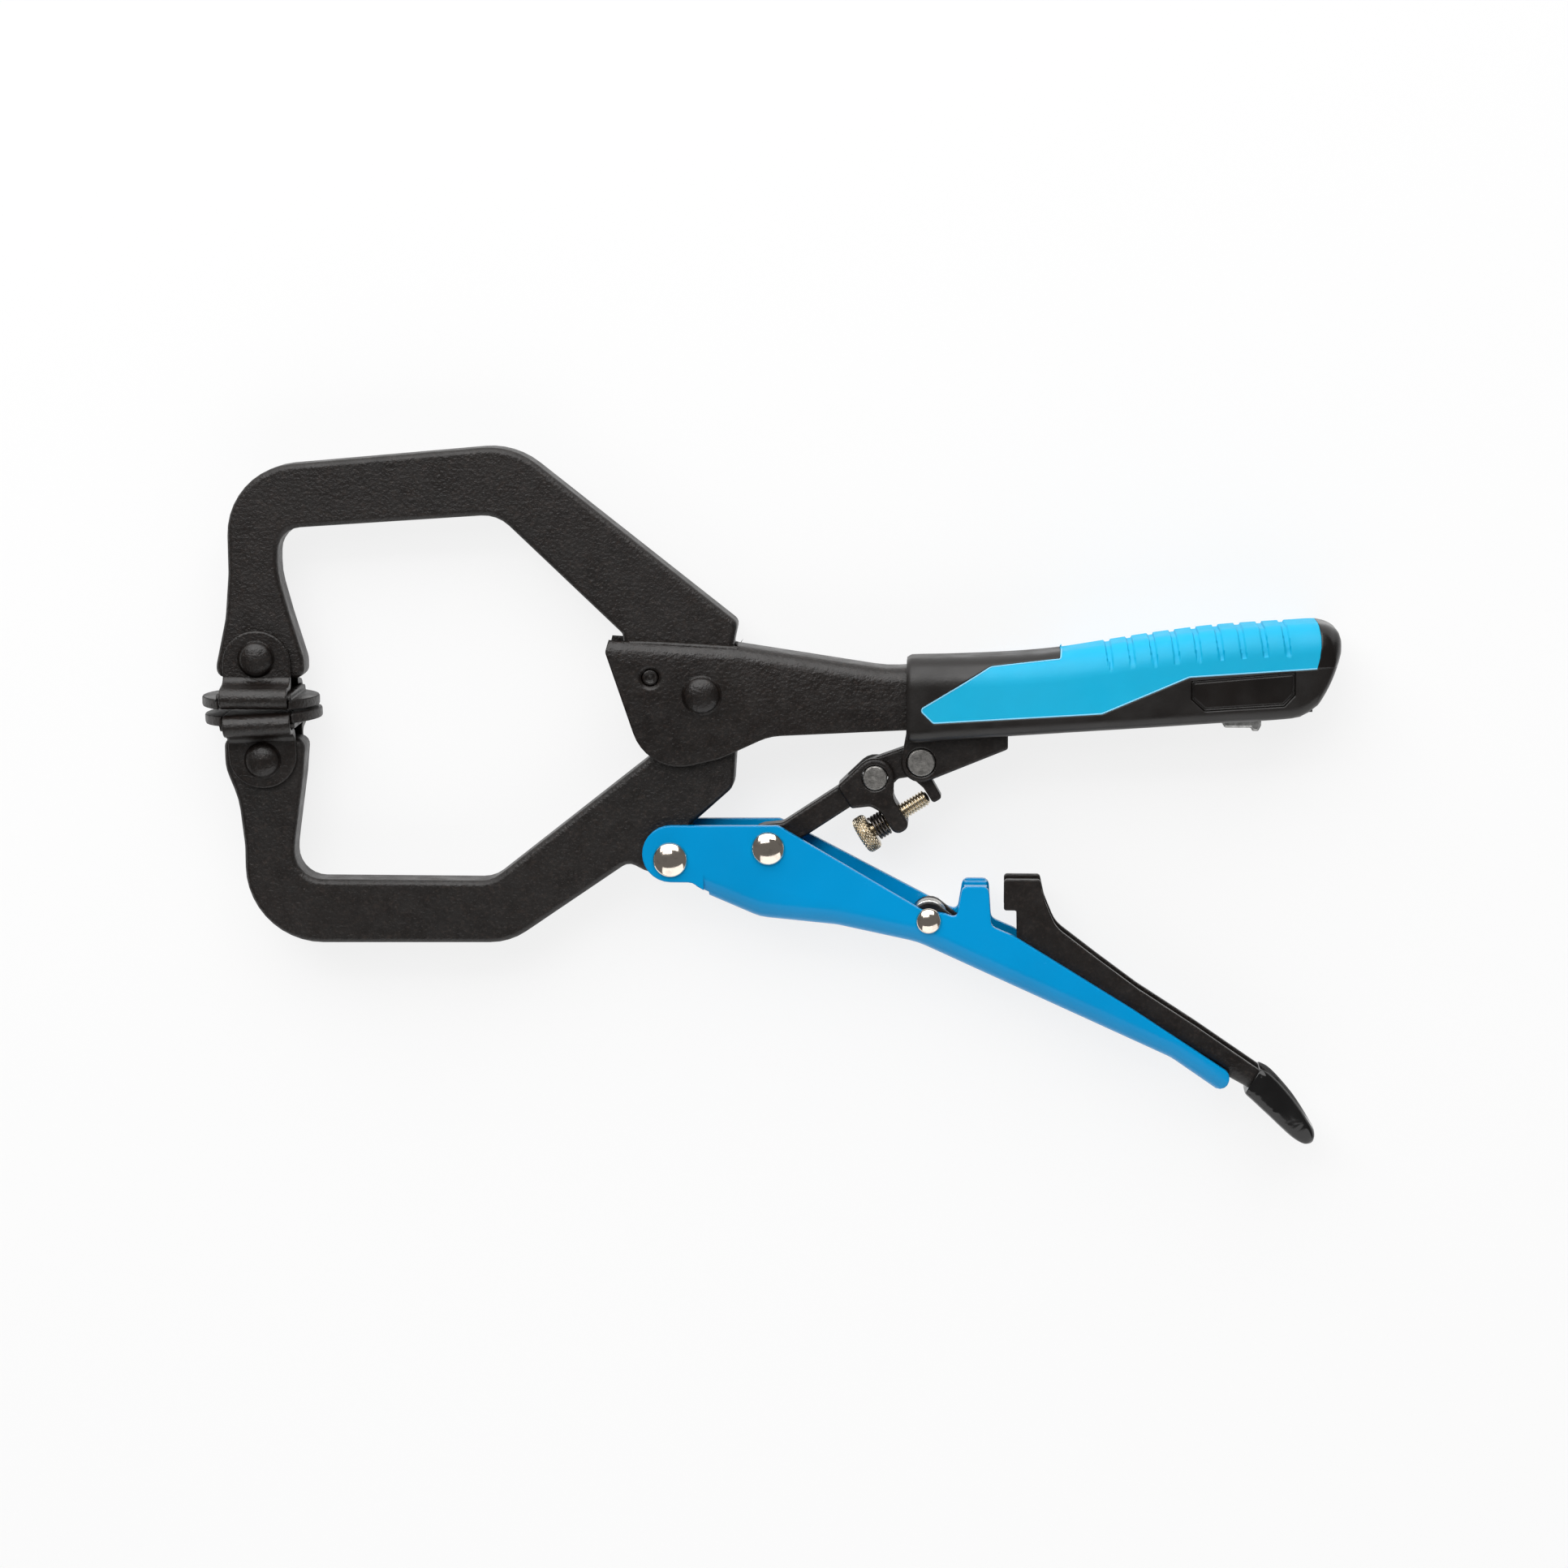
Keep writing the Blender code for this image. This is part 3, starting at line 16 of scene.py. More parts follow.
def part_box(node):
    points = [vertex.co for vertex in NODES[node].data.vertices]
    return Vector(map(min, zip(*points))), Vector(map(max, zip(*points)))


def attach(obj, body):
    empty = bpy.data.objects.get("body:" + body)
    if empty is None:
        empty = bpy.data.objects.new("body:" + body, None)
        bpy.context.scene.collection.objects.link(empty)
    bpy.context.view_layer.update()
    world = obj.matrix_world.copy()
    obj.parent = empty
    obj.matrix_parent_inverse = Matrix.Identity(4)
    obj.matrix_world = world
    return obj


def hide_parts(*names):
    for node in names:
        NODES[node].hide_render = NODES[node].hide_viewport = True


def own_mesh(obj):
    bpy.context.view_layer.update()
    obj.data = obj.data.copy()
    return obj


bl_info = {
    "name": "Locking Pliers Looks",
    "version": (1, 0, 0),
    "blender": (4, 5, 0),
    "location": "View3D > Sidebar > Pliers",
    "description": "Builds the visible pieces and finishes of a pair of locking C-clamp pliers",
    "category": "Object",
}

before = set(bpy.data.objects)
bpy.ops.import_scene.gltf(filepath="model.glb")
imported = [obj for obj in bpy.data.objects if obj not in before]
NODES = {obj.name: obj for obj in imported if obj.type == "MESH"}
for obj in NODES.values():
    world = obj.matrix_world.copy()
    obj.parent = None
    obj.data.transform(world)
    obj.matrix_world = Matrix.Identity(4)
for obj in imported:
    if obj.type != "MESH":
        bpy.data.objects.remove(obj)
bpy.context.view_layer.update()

MM = 0.001


def middle(node):
    """The centre of a node's box, in metres."""
    low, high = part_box(node)
    return (low + high) / 2


ORIGIN = middle("main_rivet")


def pivot(node):
    """The centre of a node, in millimetres from the main pivot."""
    return (middle(node) - ORIGIN) / MM


HANDLE_PIVOT = pivot("handle_rivet")
TOGGLE_PIVOT = pivot("toggle_rivet")
LEVER_PIVOT = pivot("lever_rivet")
FOLD_PIVOT = pivot("fold_pin")
UPPER_PAD_PIVOT = pivot("upper_pad_rivet")
LOWER_PAD_PIVOT = pivot("lower_pad_rivet")
JAW_ANCHOR = pivot("jaw_anchor_pin")
SCREW_ANGLE = math.radians(32.3)
SCREW_AXIS = Vector((math.cos(SCREW_ANGLE), math.sin(SCREW_ANGLE), 0.0))
LEG_AXIS = Vector((math.sin(SCREW_ANGLE), -math.cos(SCREW_ANGLE), 0.0))
HANDLE_SLOPE = math.radians(3.0)
THROUGH = Vector((0.0, 0.0, 1.0))


# Settings


def tint(label, about, default):
    return bpy.props.FloatVectorProperty(
        name=label, description=about, subtype="COLOR", default=default, min=0.0, max=1.0
    )


def amount(label, about, default, **rules):
    return bpy.props.FloatProperty(name=label, description=about, default=default, **rules)


def tally(label, about, default, low, high):
    return bpy.props.IntProperty(name=label, description=about, default=default, min=low, max=high)


class PliersFinishes(bpy.types.PropertyGroup):
    """Colours and roughness of the finishes."""

    coat: tint(
        "Black coat", "Colour of the powder coat on the jaws, channel, arm and lever",
        (0.0076, 0.0053, 0.0043)
    )
    coat_roughness: amount("Coat roughness", "Roughness of the powder coat", 0.41, min=0.0, max=1.0)
    coat_grain: amount(
        "Coat grain", "Height of the powder coat's grain", 0.0002, unit="LENGTH", precision=6
    )
    paint: tint("Blue paint", "Colour of the gloss paint on the lower handle", (0.0, 0.288, 0.63))
    soft: tint("Soft cover", "Colour of the grip's soft cover", (0.0, 0.42, 0.68))
    plastic: tint("Black plastic", "Colour of the grip's hard core", (0.0072, 0.0054, 0.0046))
    nickel: tint(
        "Nickel", "Colour of the polished rivets and the adjusting screw", (0.86, 0.765, 0.665)
    )


class PliersSizes(bpy.types.PropertyGroup):
    """Sizes of the details."""

    edge: amount(
        "Coated edge", "Radius of the coated steel's edges", 0.00045, unit="LENGTH", precision=5
    )
    groove_count: tally("Grooves", "Number of grooves across the soft cover", 9, 1, 20)
    groove_pitch: amount(
        "Groove pitch", "Distance from one groove to the next, in millimetres", 5.38
    )
    groove_width: amount("Groove width", "Width of a groove, in millimetres", 1.5)
    groove_depth: amount("Groove depth", "Depth of a groove, in millimetres", 0.5)
    thread_pitch: amount(
        "Thread pitch", "Pitch of the adjusting screw's thread, in millimetres", 0.8
    )
    knurl_count: tally("Knurl", "Number of diamonds round the knob", 26, 6, 80)


class PliersStage(bpy.types.PropertyGroup):
    """Camera, floor and lamps."""

    distance: amount(
        "Distance", "Distance from the camera to the middle of its view", 1.0, unit="LENGTH"
    )
    yaw: amount(
        "Turn", "Turn of the camera towards the handle ends", math.radians(2.8), subtype="ANGLE"
    )
    lift: amount(
        "Lift", "Lift of the camera towards the grip's side", math.radians(8.5), subtype="ANGLE"
    )
    width: amount("View width", "Width of the view at the object", 0.3864, unit="LENGTH")
    key: amount("Key lamp", "Power of the large lamp on the grip's side", 23.0, unit="POWER")
    fill: amount("Fill lamp", "Power of the lamp on the lower handle's side", 9.0, unit="POWER")
    soft: amount("Soft lamp", "Power of the small lamp near the camera", 3.6, unit="POWER")
    ambient: amount("Room light", "Strength of the even light around the object", 0.14)


# Nodes


def fill(tree, node, inputs):
    """Sets a node's inputs, or links sockets into them."""
    for key, value in inputs.items():
        if isinstance(value, bpy.types.NodeSocket):
            tree.links.new(value, node.inputs[key])
        else:
            node.inputs[key].default_value = value
    return node


def add_node(tree, kind, inputs=None, **settings):
    """Adds a node with its own settings, and fills its inputs."""
    made = tree.nodes.new(kind)
    for key, value in settings.items():
        setattr(made, key, value)
    return fill(tree, made, inputs or {})


# Materials

WHITE = (1.0, 1.0, 1.0, 1.0)


def shade(colour, factor):
    return tuple(min(1.0, c * factor) for c in colour)


class Look:
    """A material being built, patterned on object coordinates."""

    def __init__(self, name, colour, roughness, metallic=0.0):
        self.material = bpy.data.materials.new(name)
        self.material.use_nodes = True
        self.material.diffuse_color = (*colour, 1.0)
        self.tree = self.material.node_tree
        self.shader = self.tree.nodes["Principled BSDF"]
        self.colour = self.tone = colour
        self.where = self.coordinates()
        self.feed({"Base Color": (*colour, 1.0), "Roughness": roughness, "Metallic": metallic})

    def feed(self, inputs):
        fill(self.tree, self.shader, inputs)

    def node(self, kind, inputs=None, **settings):
        return add_node(self.tree, kind, inputs, **settings)

    def coordinates(self, stretch=(1.0, 1.0, 1.0), turn=0.0):
        """Object coordinates, stretched and turned."""
        place = self.node("ShaderNodeTexCoord").outputs["Object"]
        inputs = {"Vector": place, "Scale": stretch, "Rotation": (0.0, 0.0, turn)}
        return self.node("ShaderNodeMapping", inputs).outputs["Vector"]

    def noise(self, scale, detail=3.0, roughness=0.5, distortion=0.0, where=None):
        inputs = {"Scale": scale, "Detail": detail, "Roughness": roughness}
        inputs["Distortion"] = distortion
        inputs["Vector"] = self.where if where is None else where
        return self.node("ShaderNodeTexNoise", inputs).outputs["Fac"]

    def ramp(self, source, low, high, start=0.0, end=1.0):
        """Maps a value from one range to another, clamped."""
        inputs = {"Value": source, "From Min": low, "From Max": high}
        inputs.update({"To Min": start, "To Max": end})
        return self.node("ShaderNodeMapRange", inputs).outputs["Result"]

    def mixed(self, factor, first, second):
        """Mixes two colours, each a tuple or a socket."""
        made = self.node("ShaderNodeMix", {"Factor": factor}, data_type="RGBA")
        sockets = [s for s in made.inputs if s.type == "RGBA"]
        for value, socket in zip((first, second), sockets):
            if isinstance(value, tuple):
                socket.default_value = (*value, 1.0)
            else:
                self.tree.links.new(value, socket)
        return [s for s in made.outputs if s.type == "RGBA"][0]

    def clouded(self, cloud, low, high, dark, bright):
        """Starts the tone: the colour from a dark shade to a bright one as the cloud rises."""
        factor = self.ramp(cloud, low, high)
        self.tone = self.mixed(factor, shade(self.colour, dark), shade(self.colour, bright))

    def over(self, factor, colour):
        """Lays a colour over the tone so far."""
        self.tone = self.mixed(factor, self.tone, colour)

    def scuffed(self, radius, bend, patches, most, colour):
        """Lays a colour on convex edges, where the rounded normal leaves the true one."""
        soft = self.node("ShaderNodeBevel", {"Radius": radius}, samples=4).outputs["Normal"]
        true = self.node("ShaderNodeNewGeometry").outputs["Normal"]
        dot = self.node("ShaderNodeVectorMath", {0: soft, 1: true}, operation="DOT_PRODUCT")
        edge = self.ramp(dot.outputs["Value"], bend[1], bend[0])
        scale, low, high = patches
        patch = self.ramp(self.noise(scale, 4.0, 0.7), low, high, 0.0, most)
        both = self.node("ShaderNodeMath", {0: edge, 1: patch}, operation="MULTIPLY")
        self.over(both.outputs["Value"], colour)

    def glossed(self, source, low, high, start, end):
        """Makes the roughness follow a value."""
        self.feed({"Roughness": self.ramp(source, low, high, start, end)})

    def done(self, layers, edge=0.0):
        """Links the tone and bump layers of (height, distance), over edges rounded to a radius."""
        under = {}
        if edge:
            bevel = self.node("ShaderNodeBevel", {"Radius": edge}, samples=8)
            under["Normal"] = bevel.outputs["Normal"]
        for height, distance in layers:
            inputs = {"Strength": 1.0, "Distance": distance, "Height": height, **under}
            under["Normal"] = self.node("ShaderNodeBump", inputs).outputs["Normal"]
        self.feed({"Base Color": self.tone, **under})
        return self.material


def powder_coat(name, colour, roughness, grain, worn=False):
    """Satin powder coat: an orange-peel grain, a finer one on top, and dark specks of painted shade
    and pale specks of painted glints.
    """
    look = Look(name, colour, roughness)
    look.clouded(look.noise(34.0, 3.0, 0.55), 0.35, 0.65, 0.8, 1.22)
    painted_glint_and_shade = look.noise(1000.0, 2.0, 0.6)
    # painted shade: dark specks, as if the grain's valleys were in shade
    look.over(look.ramp(painted_glint_and_shade, 0.42, 0.3, 0.0, 0.6), shade(colour, 0.35))
    # painted glints: pale specks, as if the grain caught the lamps
    look.over(look.ramp(painted_glint_and_shade, 0.54, 0.7, 0.0, 0.9), shade(colour, 2.6))
    if worn:
        look.scuffed(0.0006, (0.80, 0.93), (420.0, 0.56, 0.68), 0.75, (0.16, 0.15, 0.14))
    look.glossed(look.noise(260.0), 0.3, 0.7, roughness - 0.06, roughness + 0.08)
    look.feed({"Specular IOR Level": 0.45})
    peel, fine = look.noise(1150.0, 2.0, 0.55), look.noise(3600.0, 2.0)
    return look.done([(peel, grain), (fine, grain * 0.22)], 0.0007)


def gloss_paint(name, colour):
    """Gloss paint with a faint orange peel, a little deeper in tone in patches."""
    look = Look(name, colour, 0.2)
    look.clouded(look.noise(26.0, 2.0), 0.35, 0.65, 0.93, 1.06)
    look.glossed(look.noise(140.0, 4.0, 0.6), 0.3, 0.75, 0.14, 0.28)
    look.feed({"Specular IOR Level": 0.2})
    peel, fine = look.noise(420.0, 1.0), look.noise(1900.0, 1.0)
    return look.done([(peel, 0.00003), (fine, 0.000004)], 0.0006)


def soft_cover(name, colour):
    """Soft-touch rubber: matt, with a fine moulded grain and faint handling marks."""
    look = Look(name, colour, 0.56)
    look.clouded(look.noise(40.0, 4.0, 0.6), 0.3, 0.7, 0.94, 1.05)
    look.over(look.ramp(look.noise(380.0, 3.0, 0.7), 0.70, 0.78, 0.0, 0.35), shade(colour, 0.7))
    look.glossed(look.noise(90.0), 0.3, 0.7, 0.46, 0.62)
    look.feed({"Specular IOR Level": 0.35, "Subsurface Weight": 0.08})
    look.feed({"Subsurface Radius": (0.2, 0.6, 1.0), "Subsurface Scale": 0.001})
    return look.done([(look.noise(2600.0, 2.0), 0.000012)])


def moulded_plastic(name, colour, roughness, grain):
    """Moulded plastic with a spark-eroded grain and pale scuffs on its edges."""
    look = Look(name, colour, roughness)
    look.clouded(look.noise(60.0), 0.35, 0.65, 0.8, 1.3)
    look.scuffed(0.0005, (0.78, 0.92), (300.0, 0.55, 0.7), 0.5, (0.11, 0.105, 0.10))
    look.glossed(look.noise(170.0), 0.3, 0.7, roughness - 0.07, roughness + 0.07)
    return look.done([(look.noise(1500.0, 2.0), grain)], 0.0006)


def polished_metal(name, colour, roughness, dull=0.12):
    """Plated metal: bright, with hairline marks and duller patches."""
    look = Look(name, colour, roughness, 1.0)
    cloud = look.noise(420.0, 3.0, 0.6)
    look.clouded(cloud, 0.5, 0.75, 1.0, 0.72)
    look.glossed(cloud, 0.4, 0.75, roughness, roughness + dull)
    brushed = look.coordinates((1.0, 9.0, 1.0), 0.6)
    return look.done([(look.noise(700.0, 2.0, 0.6, where=brushed), 0.000003)])


def ground_steel(name, colour, roughness):
    """Ground steel pin ends: fine scratches both ways, pits and darker patches."""
    look = Look(name, colour, roughness, 1.0)
    one_way = look.noise(900.0, 3.0, 0.7, where=look.coordinates((1.0, 14.0, 1.0), 0.5))
    other_way = look.noise(700.0, 3.0, 0.7, where=look.coordinates((14.0, 1.0, 1.0), 0.2))
    cloud = look.noise(800.0, 4.0, 0.65)
    look.clouded(cloud, 0.35, 0.65, 0.62, 1.25)
    look.glossed(one_way, 0.3, 0.7, roughness - 0.12, roughness + 0.15)
    return look.done([(one_way, 0.00002), (other_way, 0.000012), (cloud, 0.00003)])


def dipped_vinyl(name):
    """Thick dipped vinyl: wet gloss over slow ripples."""
    look = Look(name, (0.0065, 0.0062, 0.0062), 0.1)
    smear = look.noise(120.0)
    look.clouded(smear, 0.4, 0.7, 1.0, 1.6)
    look.glossed(smear, 0.35, 0.7, 0.07, 0.2)
    return look.done([(look.noise(210.0, 2.0, 0.5, 0.4), 0.0003)])


FINISHES = {}


def finish(name):
    """A finish by name, made when first asked for."""
    if name not in FINISHES:
        looks = bpy.context.scene.pliers_finishes
        coat, plastic = tuple(looks.coat), tuple(looks.plastic)
        rough, grain = looks.coat_roughness, looks.coat_grain
        maker, *values = {
            "jaw_coat": (powder_coat, coat, rough, grain),
            "sheet_coat": (powder_coat, coat, rough - 0.06, grain * 0.8),
            "worn_coat": (powder_coat, coat, rough - 0.04, grain * 0.6, True),
            "blue_paint": (gloss_paint, tuple(looks.paint)),
            "cover_rubber": (soft_cover, tuple(looks.soft)),
            "cover_lip": (soft_cover, (0.24, 0.62, 0.86)),
            "core_plastic": (moulded_plastic, plastic, 0.4, 0.00003),
            "cap_plastic": (moulded_plastic, shade(plastic, 0.95), 0.27, 0.00001),
            "rivet_nickel": (polished_metal, tuple(looks.nickel), 0.07),
            "screw_nickel": (polished_metal, (0.66, 0.58, 0.45), 0.2),
            "spring_bright": (polished_metal, (0.62, 0.60, 0.57), 0.16),
            "spring_dark": (polished_metal, (0.10, 0.09, 0.085), 0.28),
            "pin_steel": (ground_steel, (0.30, 0.29, 0.275), 0.42),
            "anchor_zinc": (ground_steel, (0.52, 0.52, 0.51), 0.4),
            "tip_vinyl": (dipped_vinyl,),
        }[name]
        FINISHES[name] = maker(name, *values)
    return FINISHES[name]


# Meshes


def fresh_object(name, vertices, faces, edges=()):
    mesh = bpy.data.meshes.new(name)
    mesh.from_pydata([tuple(v) for v in vertices], edges, faces)
    made = bpy.data.objects.new(name, mesh)
    bpy.context.scene.collection.objects.link(made)
    return made


def outward(target):
    """Turns all faces of a closed mesh outwards."""
    work = bmesh.new()
    work.from_mesh(target.data)
    bmesh.ops.remove_doubles(work, verts=work.verts, dist=1e-6)
    bmesh.ops.recalc_face_normals(work, faces=work.faces)
    work.to_mesh(target.data)
    work.free()
    return target


def flattened(target):
    """The object's evaluated shape as a plain mesh, with its modifiers removed."""
    graph = bpy.context.evaluated_depsgraph_get()
    mesh = bpy.data.meshes.new_from_object(
        target.evaluated_get(graph), preserve_all_data_layers=True, depsgraph=graph
    )
    target.modifiers.clear()
    target.data = mesh
    return target


def in_metres(target):
    """Takes a shape from millimetres about the main pivot to metres in the model's frame."""
    target.data.transform(Matrix.Translation(ORIGIN) @ Matrix.Scale(MM, 4))
    return target


def smoothed(target, angle=38.0):
    target.data.shade_smooth()
    target.data.set_sharp_from_angle(angle=math.radians(angle))
    return target


def ready(target, angle=38.0):
    """A shape in millimetres, taken to metres and smoothed."""
    return smoothed(in_metres(target), angle)


def put(target, name, look, body, slot, *stands_for):
    """Names a finished piece, gives it its finish and hangs it on its body."""
    target.name = name
    target.data.name = name
    target.data.materials.clear()
    target.data.materials.append(finish(look))
    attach(target, body)
    if stands_for:
        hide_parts(*stands_for)
    return target


def merged_copy(node, flat=False):
    """A copy of a CAD node with its points merged, and its flat faces joined if asked."""
    work = bmesh.new()
    work.from_mesh(NODES[node].data)
    bmesh.ops.remove_doubles(work, verts=work.verts, dist=2e-6)
    if flat:
        level = math.radians(0.7)
        bmesh.ops.dissolve_limit(work, angle_limit=level, verts=work.verts, edges=work.edges)
    work.verts.index_update()
    vertices = [v.co.copy() for v in work.verts]
    faces = [[v.index for v in face.verts] for face in work.faces]
    work.free()
    return fresh_object(node, vertices, faces)


def softened(node, radius):
    """A CAD node with its sharp edges rounded."""
    made = merged_copy(node, flat=True)
    bevel = made.modifiers.new("edge", "BEVEL")
    bevel.width = radius
    bevel.segments = 3
    bevel.limit_method = "ANGLE"
    bevel.angle_limit = math.radians(28.0)
    bevel.use_clamp_overlap = False
    bevel.harden_normals = True
    made.data.shade_smooth()
    return flattened(made)


def refined(node):
    """A CAD node with its curved faces smooth; the finish rounds its edges."""
    return smoothed(merged_copy(node), 30.0)


def loft(rings):
    """A body through rings with equal numbers of points."""
    size = len(rings[0])
    vertices = [point for ring in rings for point in ring]
    faces = []
    for k in range(len(rings) - 1):
        for i in range(size):
            a, b = k * size + i, k * size + (i + 1) % size
            faces.append([a, b, b + size, a + size])
    faces.append(list(range(size))[::-1])
    faces.append([(len(rings) - 1) * size + i for i in range(size)])
    return outward(fresh_object("loft", vertices, faces))


def turned(rings, centre, across=Matrix.Identity(3)):
    """A body through rings of (radius, height) points about an axis."""
    solid = []
    for ring in rings:
        points = []
        for i, (radius, height) in enumerate(ring):
            angle = 2 * math.pi * i / len(ring)
            local = Vector((radius * math.cos(angle), radius * math.sin(angle), height))
            points.append(across @ local + centre)
        solid.append(points)
    return loft(solid)


def twin_turned(half, centre, sides=64):
    """A body turned about Z from the upper half of its profile, with the same below."""
    profile = [(radius, -height) for radius, height in half[:0:-1]] + half
    across = turn_towards(THROUGH).to_3x3()
    return turned([[point] * sides for point in profile], Vector((centre.x, centre.y, 0)), across)


def plate(outline, low, high):
    """An outline of the side view extruded along Z."""
    return loft([[(x, y, z) for x, y in outline] for z in (low, high)])


def box(low, high):
    corners = [(low[0], low[1]), (high[0], low[1]), (high[0], high[1]), (low[0], high[1])]
    return plate(corners, low[2], high[2])


def side_plate(outline, side, near, far):
    """A plate on one side of the middle plane."""
    return plate(outline, *sorted((side * near, side * far)))


def combine(target, operation, others):
    for other in others:
        modifier = target.modifiers.new("boolean", "BOOLEAN")
        modifier.operation = operation
        modifier.solver = "EXACT"
        modifier.object = other
        flattened(target)
        bpy.data.objects.remove(other)
    return target


def cut(target, *others):
    return combine(target, "DIFFERENCE", others)


def clip(target, *others):
    return combine(target, "INTERSECT", others)


def joined(first, *others):
    """Several solids as one mesh."""
    work = bmesh.new()
    work.from_mesh(first.data)
    for other in others:
        work.from_mesh(other.data)
        bpy.data.objects.remove(other)
    work.to_mesh(first.data)
    work.free()
    return first


# Geometry Nodes trees


def new_tree(name, *labels):
    """A tree with a number input for each label, and an input for the finish."""
    tree = bpy.data.node_groups.new(name, "GeometryNodeTree")
    inputs = [("Geometry", "Geometry")]
    inputs += [*[(label, "Float") for label in labels], ("Finish", "Material")]
    for label, kind in inputs:
        tree.interface.new_socket(label, in_out="INPUT", socket_type="NodeSocket" + kind)
    tree.interface.new_socket("Geometry", in_out="OUTPUT", socket_type="NodeSocketGeometry")
    return tree, tree.nodes.new("NodeGroupInput"), tree.nodes.new("NodeGroupOutput")


def end_tree(tree, geometry, inside, outside):
    """Realizes the instances, sets the material and ends the tree."""
    real = add_node(tree, "GeometryNodeRealizeInstances", {"Geometry": geometry})
    inputs = {"Geometry": real.outputs["Geometry"], "Material": inside.outputs["Finish"]}
    painted = add_node(tree, "GeometryNodeSetMaterial", inputs)
    fill(tree, outside, {"Geometry": painted.outputs["Geometry"]})
    return tree


def round_wire(tree, curve, sides, radius):
    """A round wire along a curve, with closed ends."""
    inputs = {"Resolution": sides, "Radius": radius}
    circle = add_node(tree, "GeometryNodeCurvePrimitiveCircle", inputs)
    inputs = {"Curve": curve, "Profile Curve": circle.outputs["Curve"], "Fill Caps": True}
    return add_node(tree, "GeometryNodeCurveToMesh", inputs).outputs["Mesh"]


@functools.cache
def coil_tree():
    """A round wire wound along Z."""
    tree, inside, outside = new_tree("wound wire", "Turns", "Radius", "Length", "Wire")
    radius = inside.outputs["Radius"]
    inputs = {"Resolution": 28, "Rotations": inside.outputs["Turns"], "Start Radius": radius}
    inputs.update({"End Radius": radius, "Height": inside.outputs["Length"]})
    spiral = add_node(tree, "GeometryNodeCurveSpiral", inputs)
    wire = round_wire(tree, spiral.outputs["Curve"], 12, inside.outputs["Wire"])
    return end_tree(tree, wire, inside, outside)


@functools.cache
def bead_tree():
    """A round bead along a path of edges."""
    tree, inside, outside = new_tree("bead", "Radius")
    path = add_node(tree, "GeometryNodeMeshToCurve", {"Mesh": inside.outputs["Geometry"]})
    wire = round_wire(tree, path.outputs["Curve"], 8, inside.outputs["Radius"])
    return end_tree(tree, wire, inside, outside)


@functools.cache
def rivet_tree():
    """A rivet with a polished dome at each end, its heads seated at plus and minus Seat."""
    tree, inside, outside = new_tree("domed rivet", "Head", "Height", "Seat", "Shank")
    given = inside.outputs

    def node(kind, inputs=None, output="Value", **settings):
        return add_node(tree, kind, inputs, **settings).outputs[output]

    def point(x, y=0.0, z=0.0):
        return node("ShaderNodeCombineXYZ", {"X": x, "Y": y, "Z": z}, "Vector")

    ball = node("GeometryNodeMeshUVSphere", {"Segments": 56, "Rings": 32, "Radius": 1.0}, "Mesh")
    size = point(given["Head"], given["Head"], given["Height"])
    shaped = node("GeometryNodeTransform", {"Geometry": ball, "Scale": size}, "Geometry")
    here = node("GeometryNodeInputPosition", output="Position")
    split = add_node(tree, "ShaderNodeSeparateXYZ", {"Vector": here}).outputs
    above = node("ShaderNodeMath", {0: split["Z"], 1: 0.0}, operation="MAXIMUM")
    lifted = node("ShaderNodeMath", {0: above, 1: given["Seat"]}, operation="ADD")
    seated = point(split["X"], split["Y"], lifted)
    head = node("GeometryNodeSetPosition", {"Geometry": shaped, "Position": seated}, "Geometry")
    ends = node("GeometryNodePoints", {"Count": 2}, "Points")
    index = node("GeometryNodeInputIndex", output="Index")
    turn = point(node("ShaderNodeMath", {0: index, 1: math.pi}, operation="MULTIPLY"))
    inputs = {"Points": ends, "Instance": head, "Rotation": turn}
    both = node("GeometryNodeInstanceOnPoints", inputs, "Instances")
    length = node("ShaderNodeMath", {0: given["Seat"], 1: 2.0}, operation="MULTIPLY")
    inputs = {"Vertices": 32, "Radius": given["Shank"], "Depth": length}
    shank = node("GeometryNodeMeshCylinder", inputs, "Mesh")
    whole = tree.nodes.new("GeometryNodeJoinGeometry")
    for solid in (both, shank):
        tree.links.new(solid, whole.inputs["Geometry"])
    return end_tree(tree, whole.outputs["Geometry"], inside, outside)


def grown(tree, look, vertices=((0.0, 0.0, 0.0),), edges=(), **values):
    """The plain mesh that a tree makes, in millimetres."""
    values["finish"] = finish(look)
    made = fresh_object("grown", vertices, [], edges)
    modifier = made.modifiers.new("grow", "NODES")
    modifier.node_group = tree
    for socket in tree.interface.items_tree:
        key = socket.name.lower()
        if socket.in_out == "INPUT" and key in values:
            modifier[socket.identifier] = values[key]
    return flattened(made)


def bead(path, radius, look, closed=False):
    """A bead along a path of points, in millimetres."""
    edges = [(i, i + 1) for i in range(len(path) - 1)]
    if closed:
        edges.append((len(path) - 1, 0))
    return outward(grown(bead_tree(), look, path, edges, radius=radius))


def wound(look, start, turn, **shape):
    """A coil from a point, along Z or turned away from it."""
    made = grown(coil_tree(), look, **shape)
    made.data.transform(Matrix.Translation(start) @ turn)
    return outward(made)


def turn_towards(axis):
    return axis.to_track_quat("Z", "Y").to_matrix().to_4x4()


# Outlines


